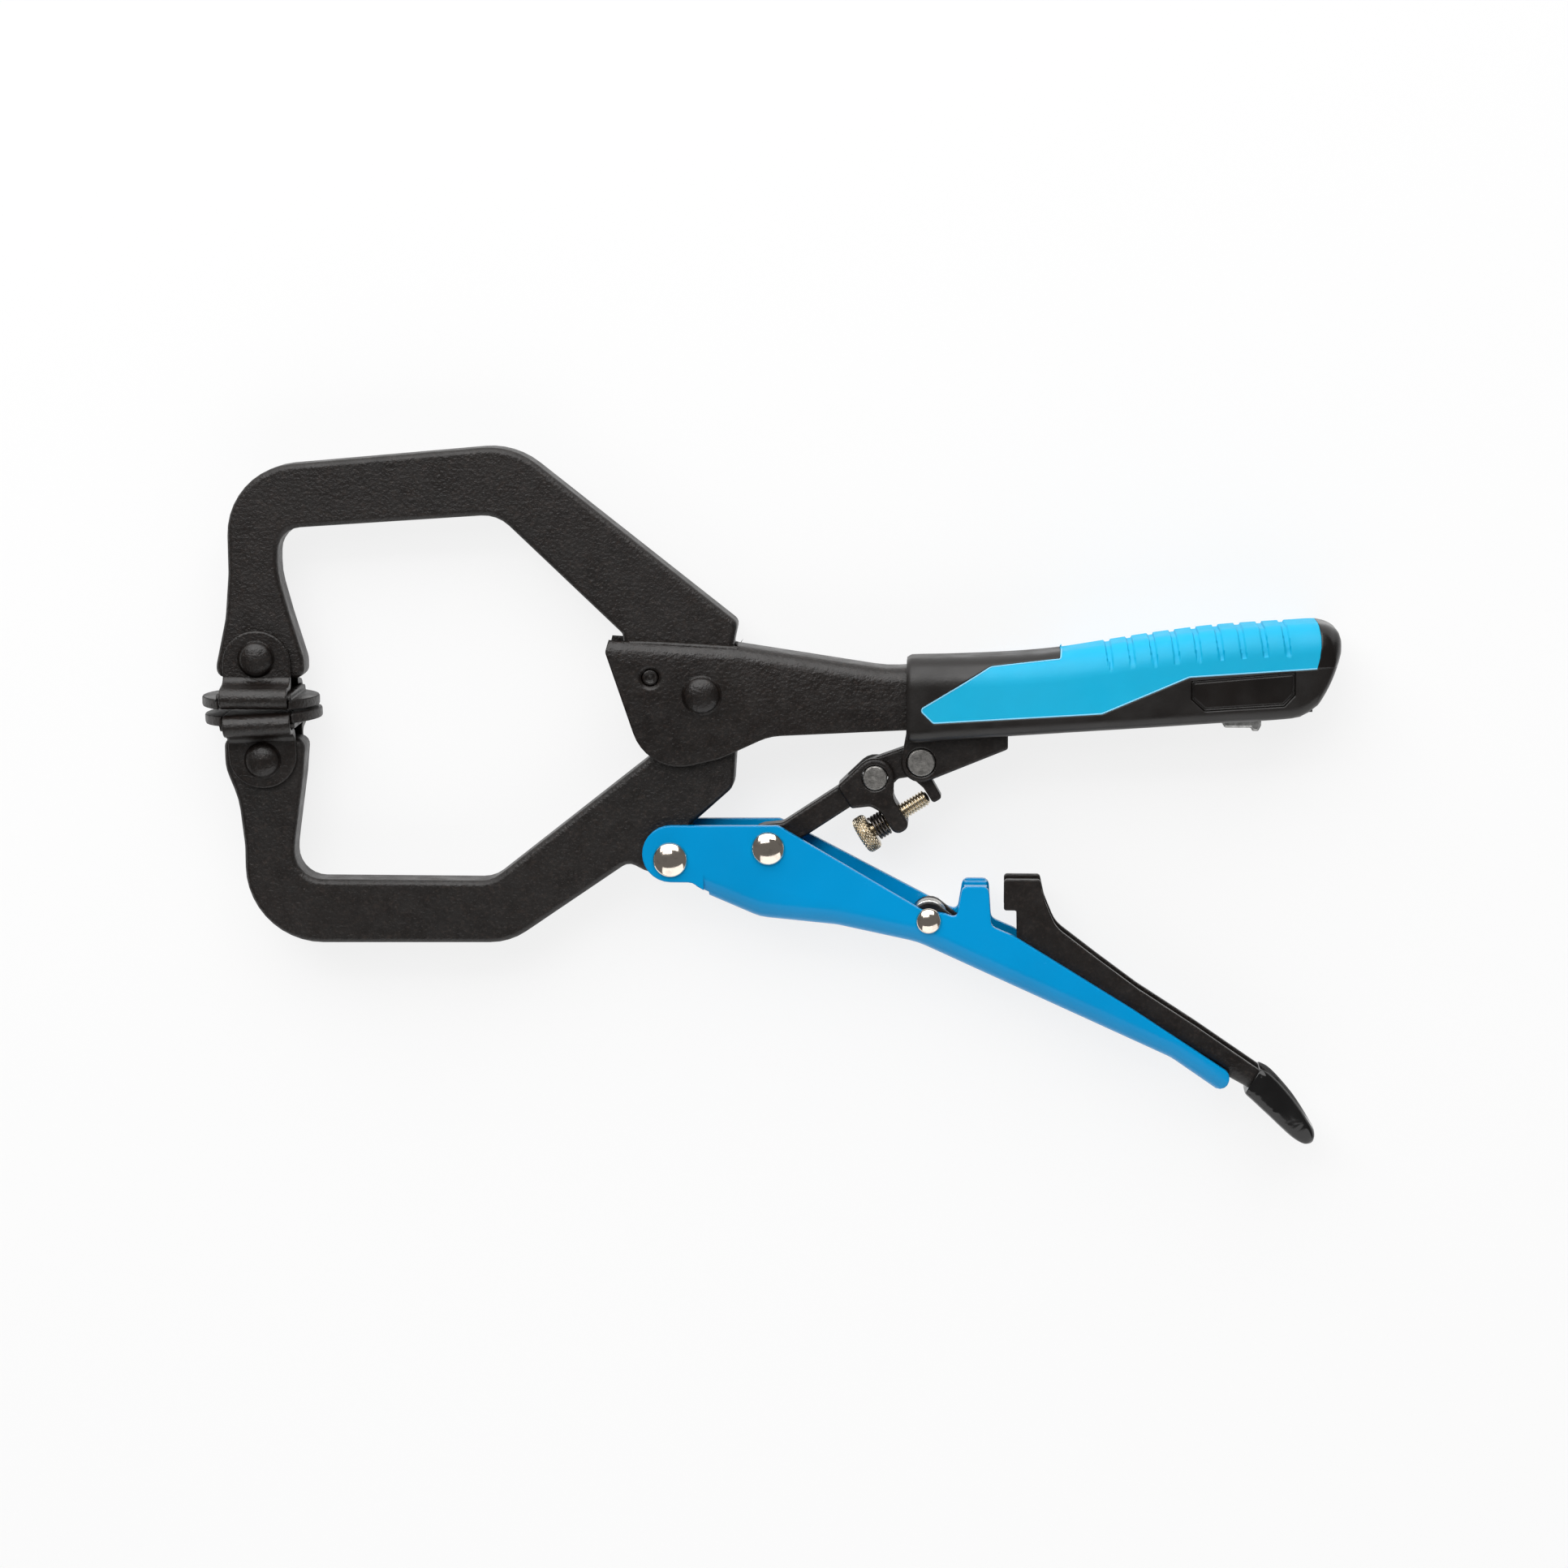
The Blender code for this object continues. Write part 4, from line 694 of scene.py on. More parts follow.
def reaches(corners, closed):
    """How far each corner's fillet reaches along its edges, shared out where two meet."""
    count = len(corners)
    wanted = []
    for i, (x, y, radius) in enumerate(corners):
        corner = Vector((x, y))
        before = Vector(corners[i - 1][:2]) - corner
        after = Vector(corners[(i + 1) % count][:2]) - corner
        at_end = not closed and i in (0, count - 1)
        fillet = 0.0 if at_end or radius == 0.0 else radius / math.tan(before.angle(after) / 2)
        wanted.append((fillet, before.length, after.length))
    allowed = []
    for i, (reach, before, after) in enumerate(wanted):
        share = 1.0
        for other, length in ((wanted[i - 1][0], before), (wanted[(i + 1) % count][0], after)):
            if reach + other > 0.98 * length:
                share = min(share, 0.98 * length / (reach + other))
        allowed.append(reach * share)
    return allowed


def rounded(corners, closed=True, step=math.radians(8)):
    """The outline through (x, y, radius) corners, each filleted by its radius."""
    points = []
    count = len(corners)
    for i, reach in enumerate(reaches(corners, closed)):
        x, y, radius = corners[i]
        corner = Vector((x, y))
        if reach == 0.0:
            points.append((x, y))
            continue
        before = Vector(corners[i - 1][:2]) - corner
        after = Vector(corners[(i + 1) % count][:2]) - corner
        half = before.angle(after) / 2
        radius = reach * math.tan(half)
        centre = corner + (before.normalized() + after.normalized()).normalized() * (
            radius / math.sin(half)
        )
        start = corner + before.normalized() * reach - centre
        end = corner + after.normalized() * reach - centre
        turn = math.atan2(start.cross(end), start.dot(end))
        steps = max(2, math.ceil(abs(turn) / step))
        for k in range(steps + 1):
            point = centre + Matrix.Rotation(turn * k / steps, 2) @ start
            points.append((point.x, point.y))
    return points


def inset(outline, distance):
    """An outline moved inwards by a distance, or outwards by a negative one."""
    area = sum(
        a[0] * b[1] - b[0] * a[1] for a, b in zip(outline, outline[1:] + outline[:1])
    )
    if area < 0:
        outline = outline[::-1]
    moved = []
    for i, point in enumerate(outline):
        here = Vector(point)
        back = (here - Vector(outline[i - 1])).normalized()
        ahead = (Vector(outline[(i + 1) % len(outline)]) - here).normalized()
        normal = (Vector((-back.y, back.x)) + Vector((-ahead.y, ahead.x))).normalized()
        scale = distance / max(0.3, normal.dot(Vector((-back.y, back.x))))
        moved.append(tuple(here + normal * scale))
    return moved


def along(start, slope, x):
    return start[1] + math.tan(slope) * (x - start[0])


# Jaws, pads, channel and their rivets

DOME_HEIGHT = 2.05
CHEEK_HALF = 7.1
HANDLE_HALF = 6.9
EAR_OUTER = 6.35
DIMPLE_FACE = 6.45
ROOT_SEAM = [(-17.9, 12.35), (-14.0, 12.35), (-9.0, 12.15), (0.0, 11.7), (7.6, 11.2), (8.7, 10.9)]
SEAM_SIDE = 5.0
SEAM_RADIUS = 0.85
PAD_FLARE_FOOT = -6.5  # the top of the roll, from the rivet
PAD_FLARE_RISE = 2.0
PAD_FLARE_REACH = 9.7
BRACKET_HALF = 8.3
LOWER_PAD_TILT = 2.9


def coated_rivet(centre, head, shank, seat, fillet):
    """A coated rivet: its domes run out into the sheet through a fillet of paint."""
    rim = head + fillet
    half = [(shank, 0.0), (shank, seat - 0.2), (rim, seat - 0.2), (rim, seat + 0.02)]
    for k in range(1, 5):
        angle = math.radians(22.5 * k)
        climb = fillet * 0.9 * (1 - math.cos(angle))
        half.append((head + fillet * (1 - math.sin(angle)), seat + 0.02 + climb))
    foot = seat + fillet * 0.9
    rise = DOME_HEIGHT + 0.2 - fillet * 0.9
    for k in range(1, 13):
        angle = math.radians(7.4 * k)
        half.append((head * math.cos(angle) ** 0.9, foot + rise * math.sin(angle)))
    return ready(twin_turned(half, centre))


def polished_rivet(centre, height, **shape):
    seat = HANDLE_HALF + 0.05
    made = outward(grown(rivet_tree(), "rivet_nickel", height=height, seat=seat, **shape))
    made.data.transform(Matrix.Translation((centre.x, centre.y, 0)))
    return ready(made)


def pad_flare(centre, tilt, flipped):
    """The hollow bend from a bracket's ears out to its rolls, on both sides."""
    inner, foot, rise = EAR_OUTER - 0.25, PAD_FLARE_FOOT, PAD_FLARE_RISE
    section = [(inner, foot - 0.3), (inner, foot + rise)]
    run = PAD_FLARE_REACH - EAR_OUTER
    for k in range(11):
        angle = math.pi / 2 * k / 10
        climb = foot + rise * (1 - math.sin(angle))
        section.append((EAR_OUTER + run * (1 - math.cos(angle)), climb))
    section.append((PAD_FLARE_REACH, foot - 0.3))
    sides = []
    for side in (1, -1):
        ends = (-BRACKET_HALF, BRACKET_HALF)
        sides.append(loft([[(x, y, side * z) for z, y in section] for x in ends]))
    made = joined(*sides)
    turn = Matrix.Rotation(math.pi if flipped else 0.0, 4, "Z")
    lean = Matrix.Rotation(math.radians(tilt), 4, "Z")
    made.data.transform(Matrix.Translation((centre.x, centre.y, 0)) @ lean @ turn)
    return ready(made, 40)


class PLIERS_OT_jaws(bpy.types.Operator):
    """Builds both coated jaws"""

    bl_idname = "pliers.jaws"
    bl_label = "Jaws"

    def execute(self, context):
        for name, body in (("upper_jaw", "frame"), ("lower_jaw", "lower_jaw")):
            made = softened(name, context.scene.pliers_sizes.edge)
            put(made, name + "_forging", "jaw_coat", body, "black_coat", name)
        return {"FINISHED"}


class PLIERS_OT_pads(bpy.types.Operator):
    """Builds the swivel pads, their brackets and their rivets"""

    bl_idname = "pliers.pads"
    bl_label = "Swivel pads"

    def execute(self, context):
        edge = context.scene.pliers_sizes.edge
        for side, centre, holder, tilt in (
            ("upper", UPPER_PAD_PIVOT, "frame", 0.0),
            ("lower", LOWER_PAD_PIVOT, "lower_jaw", LOWER_PAD_TILT),
        ):
            body = side + "_pad"
            disc = softened(body + "_disc", edge * 0.6)
            put(disc, side + "_clamping_disc", "jaw_coat", body, "black_coat", body + "_disc")
            node = body + "_bracket"
            bracket = softened(node, edge * 0.75)
            put(bracket, side + "_folded_bracket", "sheet_coat", body, "black_coat", node)
            flare = pad_flare(centre, tilt, side == "lower")
            put(flare, side + "_bracket_flare", "sheet_coat", body, "black_coat")
            rivet = coated_rivet(centre, 4.15, 2.4, EAR_OUTER, 0.45)
            put(rivet, side + "_pad_pin", "sheet_coat", holder, "black_coat", body + "_rivet")
        return {"FINISHED"}


class PLIERS_OT_channel(bpy.types.Operator):
    """Builds the folded channel, the main rivet and the jaw's anchor pin"""

    bl_idname = "pliers.channel"
    bl_label = "Upper channel"

    def execute(self, context):
        sheet = refined("upper_channel")
        put(sheet, "folded_channel", "sheet_coat", "frame", "black_coat", "upper_channel")
        seams = []
        for side in (1, -1):
            path = [(x, y, side * SEAM_SIDE) for x, y in ROOT_SEAM]
            seams.append(bead(path, SEAM_RADIUS, "sheet_coat"))
        put(ready(joined(*seams), 60), "root_seam", "sheet_coat", "frame", "black_coat")
        rivet = coated_rivet(Vector((0, 0, 0)), 4.35, 3.5, CHEEK_HALF, 0.6)
        put(rivet, "main_pivot_rivet", "sheet_coat", "frame", "black_coat", "main_rivet")
        dimple = [(2.0, -0.35), (1.75, -0.1), (1.35, 0.0), (1.1, -0.1), (0.95, -0.5)]
        dimple += [(0.5, -0.55), (0.25, -0.35), (0.02, -0.32)]
        half = [(2.0, 0.0), *[(radius, DIMPLE_FACE + rise) for radius, rise in dimple]]
        anchor = ready(twin_turned(half, JAW_ANCHOR, 40), 50)
        put(anchor, "jaw_anchor", "sheet_coat", "frame", "black_coat", "jaw_anchor_pin")
        return {"FINISHED"}


# Lower handle and linkage

EAR_SPUR = [(-1.4, -47.3), (-1.4, -51.0), (0.36, -51.0), (0.36, -48.3)]


class PLIERS_OT_handle(bpy.types.Operator):
    """Builds the folded blue handle and its polished rivets"""

    bl_idname = "pliers.handle"
    bl_label = "Lower handle"

    def execute(self, context):
        sheet = refined("lower_handle")
        for side in (1, -1):
            cut(sheet, in_metres(side_plate(EAR_SPUR, side, 5.0, 7.5)))
        smoothed(sheet, 30.0)
        put(sheet, "folded_handle", "blue_paint", "lower_handle", "blue_paint", "lower_handle")
        for name, centre, head, shank, height in (
            ("handle_rivet", HANDLE_PIVOT, 4.35, 2.2, 2.0),
            ("toggle_rivet", TOGGLE_PIVOT, 4.15, 2.4, 1.9),
            ("lever_rivet", LEVER_PIVOT, 3.15, 1.8, 1.6),
        ):
            rivet = polished_rivet(centre, height, head=head, shank=shank)
            put(rivet, "polished_" + name, "rivet_nickel", "lower_handle", "nickel", name)
        for name in ("toggle_washer_near", "toggle_washer_far"):
            NODES[name].data.materials.clear()
            NODES[name].data.materials.append(finish("pin_steel"))
        return {"FINISHED"}


class PLIERS_OT_linkage(bpy.types.Operator):
    """Builds the toggle arm, tension link, cam and their pins"""

    bl_idname = "pliers.linkage"
    bl_label = "Linkage"

    def execute(self, context):
        for node, name, body in (
            ("toggle_arm", "toggle_arm_forging", "toggle_arm"),
            ("tension_link", "tension_link_plate", "tension_link"),
            ("locking_cam", "locking_cam_block", "cam"),
        ):
            put(refined(node), name, "worn_coat", body, "black_coat", node)
        for node, body in (("fold_pin", "toggle_arm"), ("cam_pin", "cam")):
            put(softened(node, 0.00012), node + "_ground", "pin_steel", body, "pin_steel", node)
        return {"FINISHED"}


# Adjusting screw

KNOB_START = -11.2
KNOB_THICKNESS = 3.5
KNOB_RADIUS = 4.75
KNOB_SHOULDER = 1.1
KNOB_ROWS = 30
KNURL_DEPTH = 0.5
SCREW_RADIUS = 2.0
SCREW_TIP = 8.3
SCREW_OFFSET = 11.1
SCREW_SIDES = 40
THREAD_DEPTH = 0.45
THREAD_ROWS = 9  # rows of points for each turn
SCREW_SPRING_REAR = -3.9


def on_screw(u):
    """A point on the adjusting screw's axis."""
    return FOLD_PIVOT + SCREW_AXIS * u + LEG_AXIS * SCREW_OFFSET


def wave(value):
    """A triangle wave from 0 to 1 and back over each unit."""
    part = value % 1.0
    return 2 * part if part < 0.5 else 2 - 2 * part


def quarter(share):
    """The height of a quarter circle that falls to 0 as share rises to 1."""
    return math.sqrt(max(0.0, 1 - share * share))


def knurled_knob(count):
    """The knob's rings, with diamonds pressed round its rim."""
    sides = count * 8
    rise = KNOB_THICKNESS
    rings = [[(1.2, 0.0)] * sides, [(2.8, 0.0)] * sides]
    for k in range(KNOB_ROWS + 1):
        height = rise * (k / KNOB_ROWS)
        shoulder = max(0.0, 1 - min(height, rise - height) / KNOB_SHOULDER)
        base = KNOB_RADIUS - KNOB_SHOULDER * (1 - quarter(shoulder))
        climb = height * count / (2 * math.pi * KNOB_RADIUS) * 1.15
        ring = []
        for i in range(sides):
            turn = i / sides * count
            groove = max(1 - 2 * wave(turn + climb), 1 - 2 * wave(turn - climb), 0.0)
            ring.append((base - KNURL_DEPTH * min(1.0, groove * 1.15), height))
        rings.append(ring)
    rings.append([(SCREW_RADIUS + 1.0, rise)] * sides)
    rings.append([(SCREW_RADIUS + 0.2, rise)] * sides)
    return rings


def threaded_shank(length, pitch):
    """The shank's rings: the thread, up to a rounded tip."""
    rows = int(length / pitch * THREAD_ROWS)
    rings = []
    for k in range(rows + 1):
        height = length * k / rows
        taper = min(1.0, quarter(1 - min(1.0, (length - height) / 1.1)) * 0.85 + 0.15)
        ring = []
        for i in range(SCREW_SIDES):
            crest = wave(height / pitch - i / SCREW_SIDES)
            depth = THREAD_DEPTH * (1 - min(1.0, crest * 1.4))
            ring.append(((SCREW_RADIUS - depth) * taper, height))
        rings.append(ring)
    return rings


class PLIERS_OT_screw(bpy.types.Operator):
    """Builds the knurled and threaded adjusting screw and its spring"""

    bl_idname = "pliers.screw"
    bl_label = "Adjusting screw"

    def execute(self, context):
        sizes = context.scene.pliers_sizes
        turn = turn_towards(SCREW_AXIS)
        start = KNOB_START + KNOB_THICKNESS - 0.4
        thread = threaded_shank(SCREW_TIP - start, sizes.thread_pitch)
        knob = turned(knurled_knob(sizes.knurl_count), on_screw(KNOB_START), turn.to_3x3())
        screw = ready(joined(knob, turned(thread, on_screw(start), turn.to_3x3())), 55)
        put(screw, "knurled_screw", "screw_nickel", "adjusting_screw", "nickel", "adjusting_screw")
        front = KNOB_START + KNOB_THICKNESS + 0.45
        length, radius = SCREW_SPRING_REAR - front, SCREW_RADIUS + 0.85
        shape = {"turns": 4.0, "radius": radius, "length": length, "wire": 0.36}
        coil = ready(wound("spring_dark", on_screw(front), turn, **shape), 60)
        name = "adjuster_spring"
        put(coil, "screw_spring_coil", "spring_dark", name, "spring_steel", name)
        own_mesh(coil)
        return {"FINISHED"}


# Springs of the frame and the lever

SPRING_START = (75.0, -3.2)
CAM_REAR = 74.8
ANCHOR_FRONT = 126.5
ANCHOR_REAR = 136.4
LEVER_SPRING_RADIUS = 3.9
LEVER_SPRING_HALF = 2.2


def spring_line(x):
    return Vector((x, along(SPRING_START, HANDLE_SLOPE, x), 0.0))


class PLIERS_OT_springs(bpy.types.Operator):
    """Builds the opening spring, its rear hook and anchor, and the lever's spring"""

    bl_idname = "pliers.springs"
    bl_label = "Springs"

    def execute(self, context):
        look = "spring_bright"
        axis = Vector((math.cos(HANDLE_SLOPE), math.sin(HANDLE_SLOPE), 0.0))
        front, rear = spring_line(CAM_REAR + 3.8), spring_line(ANCHOR_FRONT - 1.6)
        shape = {"turns": 25.0, "radius": 2.5, "length": (rear - front).length, "wire": 0.42}
        coil = wound(look, front, turn_towards(axis), **shape)
        path = [spring_line(CAM_REAR - 3.5), spring_line(CAM_REAR + 3.0)]
        path.append(front + Vector((0, 2.0, 0)))
        whole = ready(joined(coil, bead(path, 0.42, look)), 60)
        put(whole, "opening_spring_coil", look, "frame", "nickel", "opening_spring")
        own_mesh(whole)
        back = spring_line(ANCHOR_REAR + 1.2)
        path = [rear + Vector((0, 2.2, 0)), rear + Vector((0.8, 0.1, 0)), back]
        path += [back + Vector((0.7, -0.5, 0)), back + Vector((0.9, -4.4, 0))]
        tail = ready(bead(path, 0.5, look), 60)
        put(tail, "opening_spring_tail", look, "frame", "nickel")
        plain = softened("spring_anchor", 0.0003)
        put(plain, "spring_anchor_plate", "anchor_zinc", "frame", "pin_steel", "spring_anchor")
        self.lever_spring(look)
        return {"FINISHED"}

    def lever_spring(self, look):
        radius, half = LEVER_SPRING_RADIUS, LEVER_SPRING_HALF
        centre = Vector((LEVER_PIVOT.x, LEVER_PIVOT.y, 0))
        start = centre - Vector((0, 0, half))
        shape = {"turns": 4.5, "radius": radius, "length": 2 * half, "wire": 0.5}
        parts = [wound(look, start, Matrix(), **shape)]
        for end, leg in (
            ((radius, 0, -half), (5.6, -2.6, 0)),
            ((-radius, 0, half), (-4.5, 2.4, 0)),
        ):
            foot = centre + Vector(end)
            parts.append(bead([foot, foot + Vector(leg)], 0.5, look))
        whole = ready(joined(*parts), 60)
        put(whole, "lever_spring_coil", look, "lower_handle", "spring_steel", "lever_spring")


# Release lever

TIP_START = Vector((135.7, -95.1, 0.0))
TIP_BEND = Vector((139.4, -97.3, 0.0))
TIP_END = Vector((151.3, -110.6, 0.0))
TIP_HALF = 6.0
TIP_SIDES = 64
TIP_SINK = 2.7
# share of the length, half height, loss of half width, drop of the middle, depth of the valley
TIP_STATIONS = [
    (0.0, 3.2, 0.5, 0.0, 0.0),
    (0.012, 3.75, 0.1, 0.0, 0.2),
    (0.04, 4.1, 0.0, 0.0, 0.7),
    (0.12, 4.25, 0.0, 0.0, 1.0),
    (0.28, 4.3, 0.05, 0.0, 1.0),
    (0.45, 4.2, 0.1, -0.1, 1.0),
    (0.62, 3.95, 0.3, -0.2, 0.9),
    (0.75, 3.6, 0.6, -0.4, 0.6),
    (0.86, 3.1, 1.1, -0.6, 0.25),
    (0.93, 2.5, 1.7, -0.7, 0.0),
    (0.975, 1.7, 2.5, -0.8, 0.0),
    (1.0, 0.6, 3.8, -0.85, 0.0),
]


def tip_line(share):
    """A point and the ways ahead and up on the tip's bent middle line."""
    first, last = TIP_BEND - TIP_START, TIP_END - TIP_BEND
    here = TIP_START.lerp(TIP_BEND, share).lerp(TIP_BEND.lerp(TIP_END, share), share)
    ahead = first.lerp(last, share).normalized()
    return here, ahead, Vector((-ahead.y, ahead.x, 0.0))


def tip_shape():
    """The dipped tip: a thick skin that sags between the lever's edges and ends in a blob."""
    rings = []
    for share, height, loss, drop, valley in resampled(TIP_STATIONS, 5):
        centre, _, up = tip_line(min(1.0, max(0.0, share)))
        fold = math.exp(-(((share - 0.04) / 0.1) ** 2))
        ring = []
        for i in range(TIP_SIDES):
            angle = 2 * math.pi * i / TIP_SIDES
            c = math.copysign(abs(math.cos(angle)) ** 0.5, math.cos(angle))
            s = math.copysign(abs(math.sin(angle)) ** 0.5, math.sin(angle))
            pinch = 1 - 0.06 * fold * (0.5 + 0.5 * math.sin(3 * angle + 9 * share))
            between = max(0.0, 1 - (abs(c) / 0.78) ** 2.5)
            sink = TIP_SINK * valley * between * max(0.0, math.sin(angle)) ** 0.3
            place = centre + up * (height * s * pinch + drop - sink)
            ring.append((place.x, place.y, (TIP_HALF - loss) * c * pinch))
        rings.append(ring)
    return loft(rings)


def resampled(stations, count):
    """Smooth values between stations, by a Catmull-Rom curve."""
    made = []
    last = len(stations) - 1
    for i in range(last):
        four = [stations[max(0, i - 1)], stations[i], stations[i + 1], stations[min(last, i + 2)]]
        for k in range(count):
            t = k / count
            row = []
            for a, b, c, d in zip(*four):
                square, cube = 2 * a - 5 * b + 4 * c - d, 3 * b - a - 3 * c + d
                row.append(0.5 * (2 * b + (c - a) * t + square * t * t + cube * t * t * t))
            made.append(tuple(row))
    made.append(tuple(stations[last]))
    return made


class PLIERS_OT_lever(bpy.types.Operator):
    """Builds the release lever and its dipped tip"""

    bl_idname = "pliers.lever"
    bl_label = "Release lever"

    def execute(self, context):
        name = "release_lever"
        put(refined(name), "lever_sheet", "worn_coat", name, "black_coat", name)
        put(ready(tip_shape(), 60), "dipped_tip", "tip_vinyl", name, "dipped_vinyl", "lever_tip")
        return {"FINISHED"}


# Grip

GRIP_FRONT = 50.0
GRIP_REAR = 155.0
GRIP_HALF = 12.0
COVER_THICKNESS = 1.7
COVER_GAP = 0.15
CAP_GAP = 0.05
FAR = 40  # past the grip on either side
CAP_LENGTH = 6.0
CAP_FLOOR = 8.0
FIT_GAP = 0.3
BADGE_DEPTH = 0.5
TOP_RADIUS = 6.5
BOTTOM_RADIUS = 3.2
FIRST_GROOVE = 98.95
GROOVE_WALL = 0.16
GROOVE_LEAN = -0.14
GROOVE_FOOT = 8.3
GROOVE_CLIMB = 0.33
CORNER_STEPS = 10
SIDE_STEPS = 26


def grip_stations():
    """Places along the grip: x, lower edge, upper edge and half width."""
    rear = GRIP_REAR
    start, slope = (GRIP_FRONT, -11.3), math.radians(4.2)
    floor = [along(start, slope, x) for x in (60, 76, 87, 98, 112, 126, 144)]
    return [
        (GRIP_FRONT, start[1] + 0.6, 8.6, GRIP_HALF - 2.6),
        (GRIP_FRONT + 1.2, start[1], 9.2, GRIP_HALF - 2.1),
        (60.0, floor[0], 9.4, GRIP_HALF - 1.8),
        (76.0, floor[1], 10.1, GRIP_HALF - 1.2),
        (87.0, floor[2], 11.1, GRIP_HALF - 0.8),
        (98.0, floor[3], 12.8, GRIP_HALF - 0.4),
        (112.0, floor[4], 15.0, GRIP_HALF),
        (126.0, floor[5], 16.8, GRIP_HALF),
        (144.0, floor[6], 18.1, GRIP_HALF),
        (rear - 6.0, -1.7, 18.4, GRIP_HALF - 0.1),
        (rear - 3.8, 1.4, 18.1, GRIP_HALF - 0.5),
        (rear - 1.6, 5.9, 17.2, GRIP_HALF - 1.5),
        (rear - 0.4, 9.3, 15.9, GRIP_HALF - 3.0),
        (rear, 10.9, 14.6, GRIP_HALF - 4.3),
    ]


def grip_at(x):
    """The grip's lower edge, upper edge and half width at x, by monotone curves."""
    stations = grip_stations()
    x = min(max(x, stations[0][0]), stations[-1][0])
    i = max(k for k in range(len(stations) - 1) if stations[k][0] <= x)
    a, b = stations[i], stations[i + 1]
    step = b[0] - a[0]
    t = (x - a[0]) / step
    values = []
    for j in (1, 2, 3):
        slope = (b[j] - a[j]) / step
        before = (a[j] - stations[i - 1][j]) / (a[0] - stations[i - 1][0]) if i > 0 else slope
        after = slope
        if i + 2 < len(stations):
            after = (stations[i + 2][j] - b[j]) / (stations[i + 2][0] - b[0])
        start = 0.0 if before * slope <= 0 else 2 * before * slope / (before + slope)
        end = 0.0 if after * slope <= 0 else 2 * after * slope / (after + slope)
        values.append(
            a[j] * (2 * t**3 - 3 * t**2 + 1)
            + start * step * (t**3 - 2 * t**2 + t)
            + b[j] * (3 * t**2 - 2 * t**3)
            + end * step * (t**3 - t**2)
        )
    return values


def grip_ring(x, shrink, dent=None):
    """A rounded rectangle across the grip, dented where dent(x, y) says."""
    low, high, half = grip_at(x)
    wall = min(shrink, (high - low) / 2 - 0.7)
    low += wall
    high -= wall
    half -= shrink
    room = high - low - 0.4
    top = min(TOP_RADIUS - shrink, half - 0.4, room * 0.6)
    bottom = min(BOTTOM_RADIUS - shrink, room * 0.4)
    ring = []
    for sy, sz, start in ((1, 1, 0), (1, -1, 90), (-1, -1, 180), (-1, 1, 270)):
        radius = top if sy > 0 else bottom
        cy = high - radius if sy > 0 else low + radius
        cz = sz * (half - radius)
        for k in range(CORNER_STEPS + 1):
            angle = math.radians(start + 90.0 * k / CORNER_STEPS)
            normal = (math.sin(angle), math.cos(angle))
            ring.append((cy + radius * normal[0], cz + radius * normal[1], normal))
    full = []
    for i, point in enumerate(ring):
        after = ring[(i + 1) % len(ring)]
        full.append(point)
        if (i + 1) % (CORNER_STEPS + 1) == 0:
            for k in range(1, SIDE_STEPS):
                t = k / SIDE_STEPS
                full.append(
                    (
                        point[0] + (after[0] - point[0]) * t,
                        point[1] + (after[1] - point[1]) * t,
                        point[2],
                    )
                )
    placed = []
    for y, z, normal in full:
        depth = dent(x, y) if dent else 0.0
        placed.append((x, y - normal[0] * depth, z - normal[1] * depth))
    return placed


def grip_side(x, y):
    """The half width of the grip's surface at a point of the side view."""
    low, high, half = grip_at(x)
    top = min(TOP_RADIUS, half - 0.4, (high - low) * 0.6)
    bottom = min(BOTTOM_RADIUS, (high - low) * 0.4)
    if y > high - top:
        rise = min(1.0, (y - high + top) / top)
        return half - top + top * math.sqrt(max(0.0, 1 - rise * rise))
    if y < low + bottom:
        drop = min(1.0, (low + bottom - y) / bottom)
        return half - bottom + bottom * math.sqrt(max(0.0, 1 - drop * drop))
    return half


def grip_places(step):
    """Places along the grip, close together at its two ends."""
    places = [GRIP_FRONT, GRIP_FRONT + 0.3, GRIP_FRONT + 0.7, GRIP_FRONT + 1.2]
    x = GRIP_FRONT + 1.2 + step
    while x < GRIP_REAR - 6.0:
        places.append(x)
        x += step
    for k in range(17):
        places.append(GRIP_REAR - 5.6 * math.cos(math.pi / 2 * k / 16))
    return places


def grip_body(shrink=0.0, step=2.0):
    return loft([grip_ring(x, shrink) for x in grip_places(step)])


def cap_seam(shift=0.0):
    """The line between the soft cover and the end cap, from its foot up."""
    front = GRIP_REAR - CAP_LENGTH + shift
    rise = [(0.0, 0.0), (0.6, 2.5), (0.9, 5.0), (0.9, 7.5), (0.5, 10.0), (0.0, 12.0), (0.0, 32.0)]
    return [(front + x, CAP_FLOOR + shift + y) for x, y in rise]


def cap_zone(shift):
    return [(190, CAP_FLOOR + shift), (190, 40 + shift), *cap_seam(shift)[::-1]]


COVER_FRONT = [(87.4, 9.6, 0.6), (70.5, 7.6, 3.0)]
COVER_FOOT = [
    (53.3, -2.9, 0.8),
    (56.6, -6.1, 0.8),
    (93.5, -3.6, 2.0),
    (97.4, -3.3, 2.0),
    (118.3, 5.8, 2.0),
]


def cover_zone(gap=0.0):
    """The side view of the area that the soft cover takes, grown by a gap."""
    seam = [(x, y, 0.0) for x, y in cap_seam()]
    outline = rounded([*COVER_FOOT, *seam, (88.0, 40.0, 0.0), *COVER_FRONT])
    return inset(outline, -gap) if gap else outline


def lip_path():
    """The cover's visible border below and in front, in the side view."""
    start, end = (87.6, 11.6, 0.0), (GRIP_REAR - CAP_LENGTH, CAP_FLOOR, 0.0)
    return rounded([start, *COVER_FRONT, *COVER_FOOT, end], closed=False)


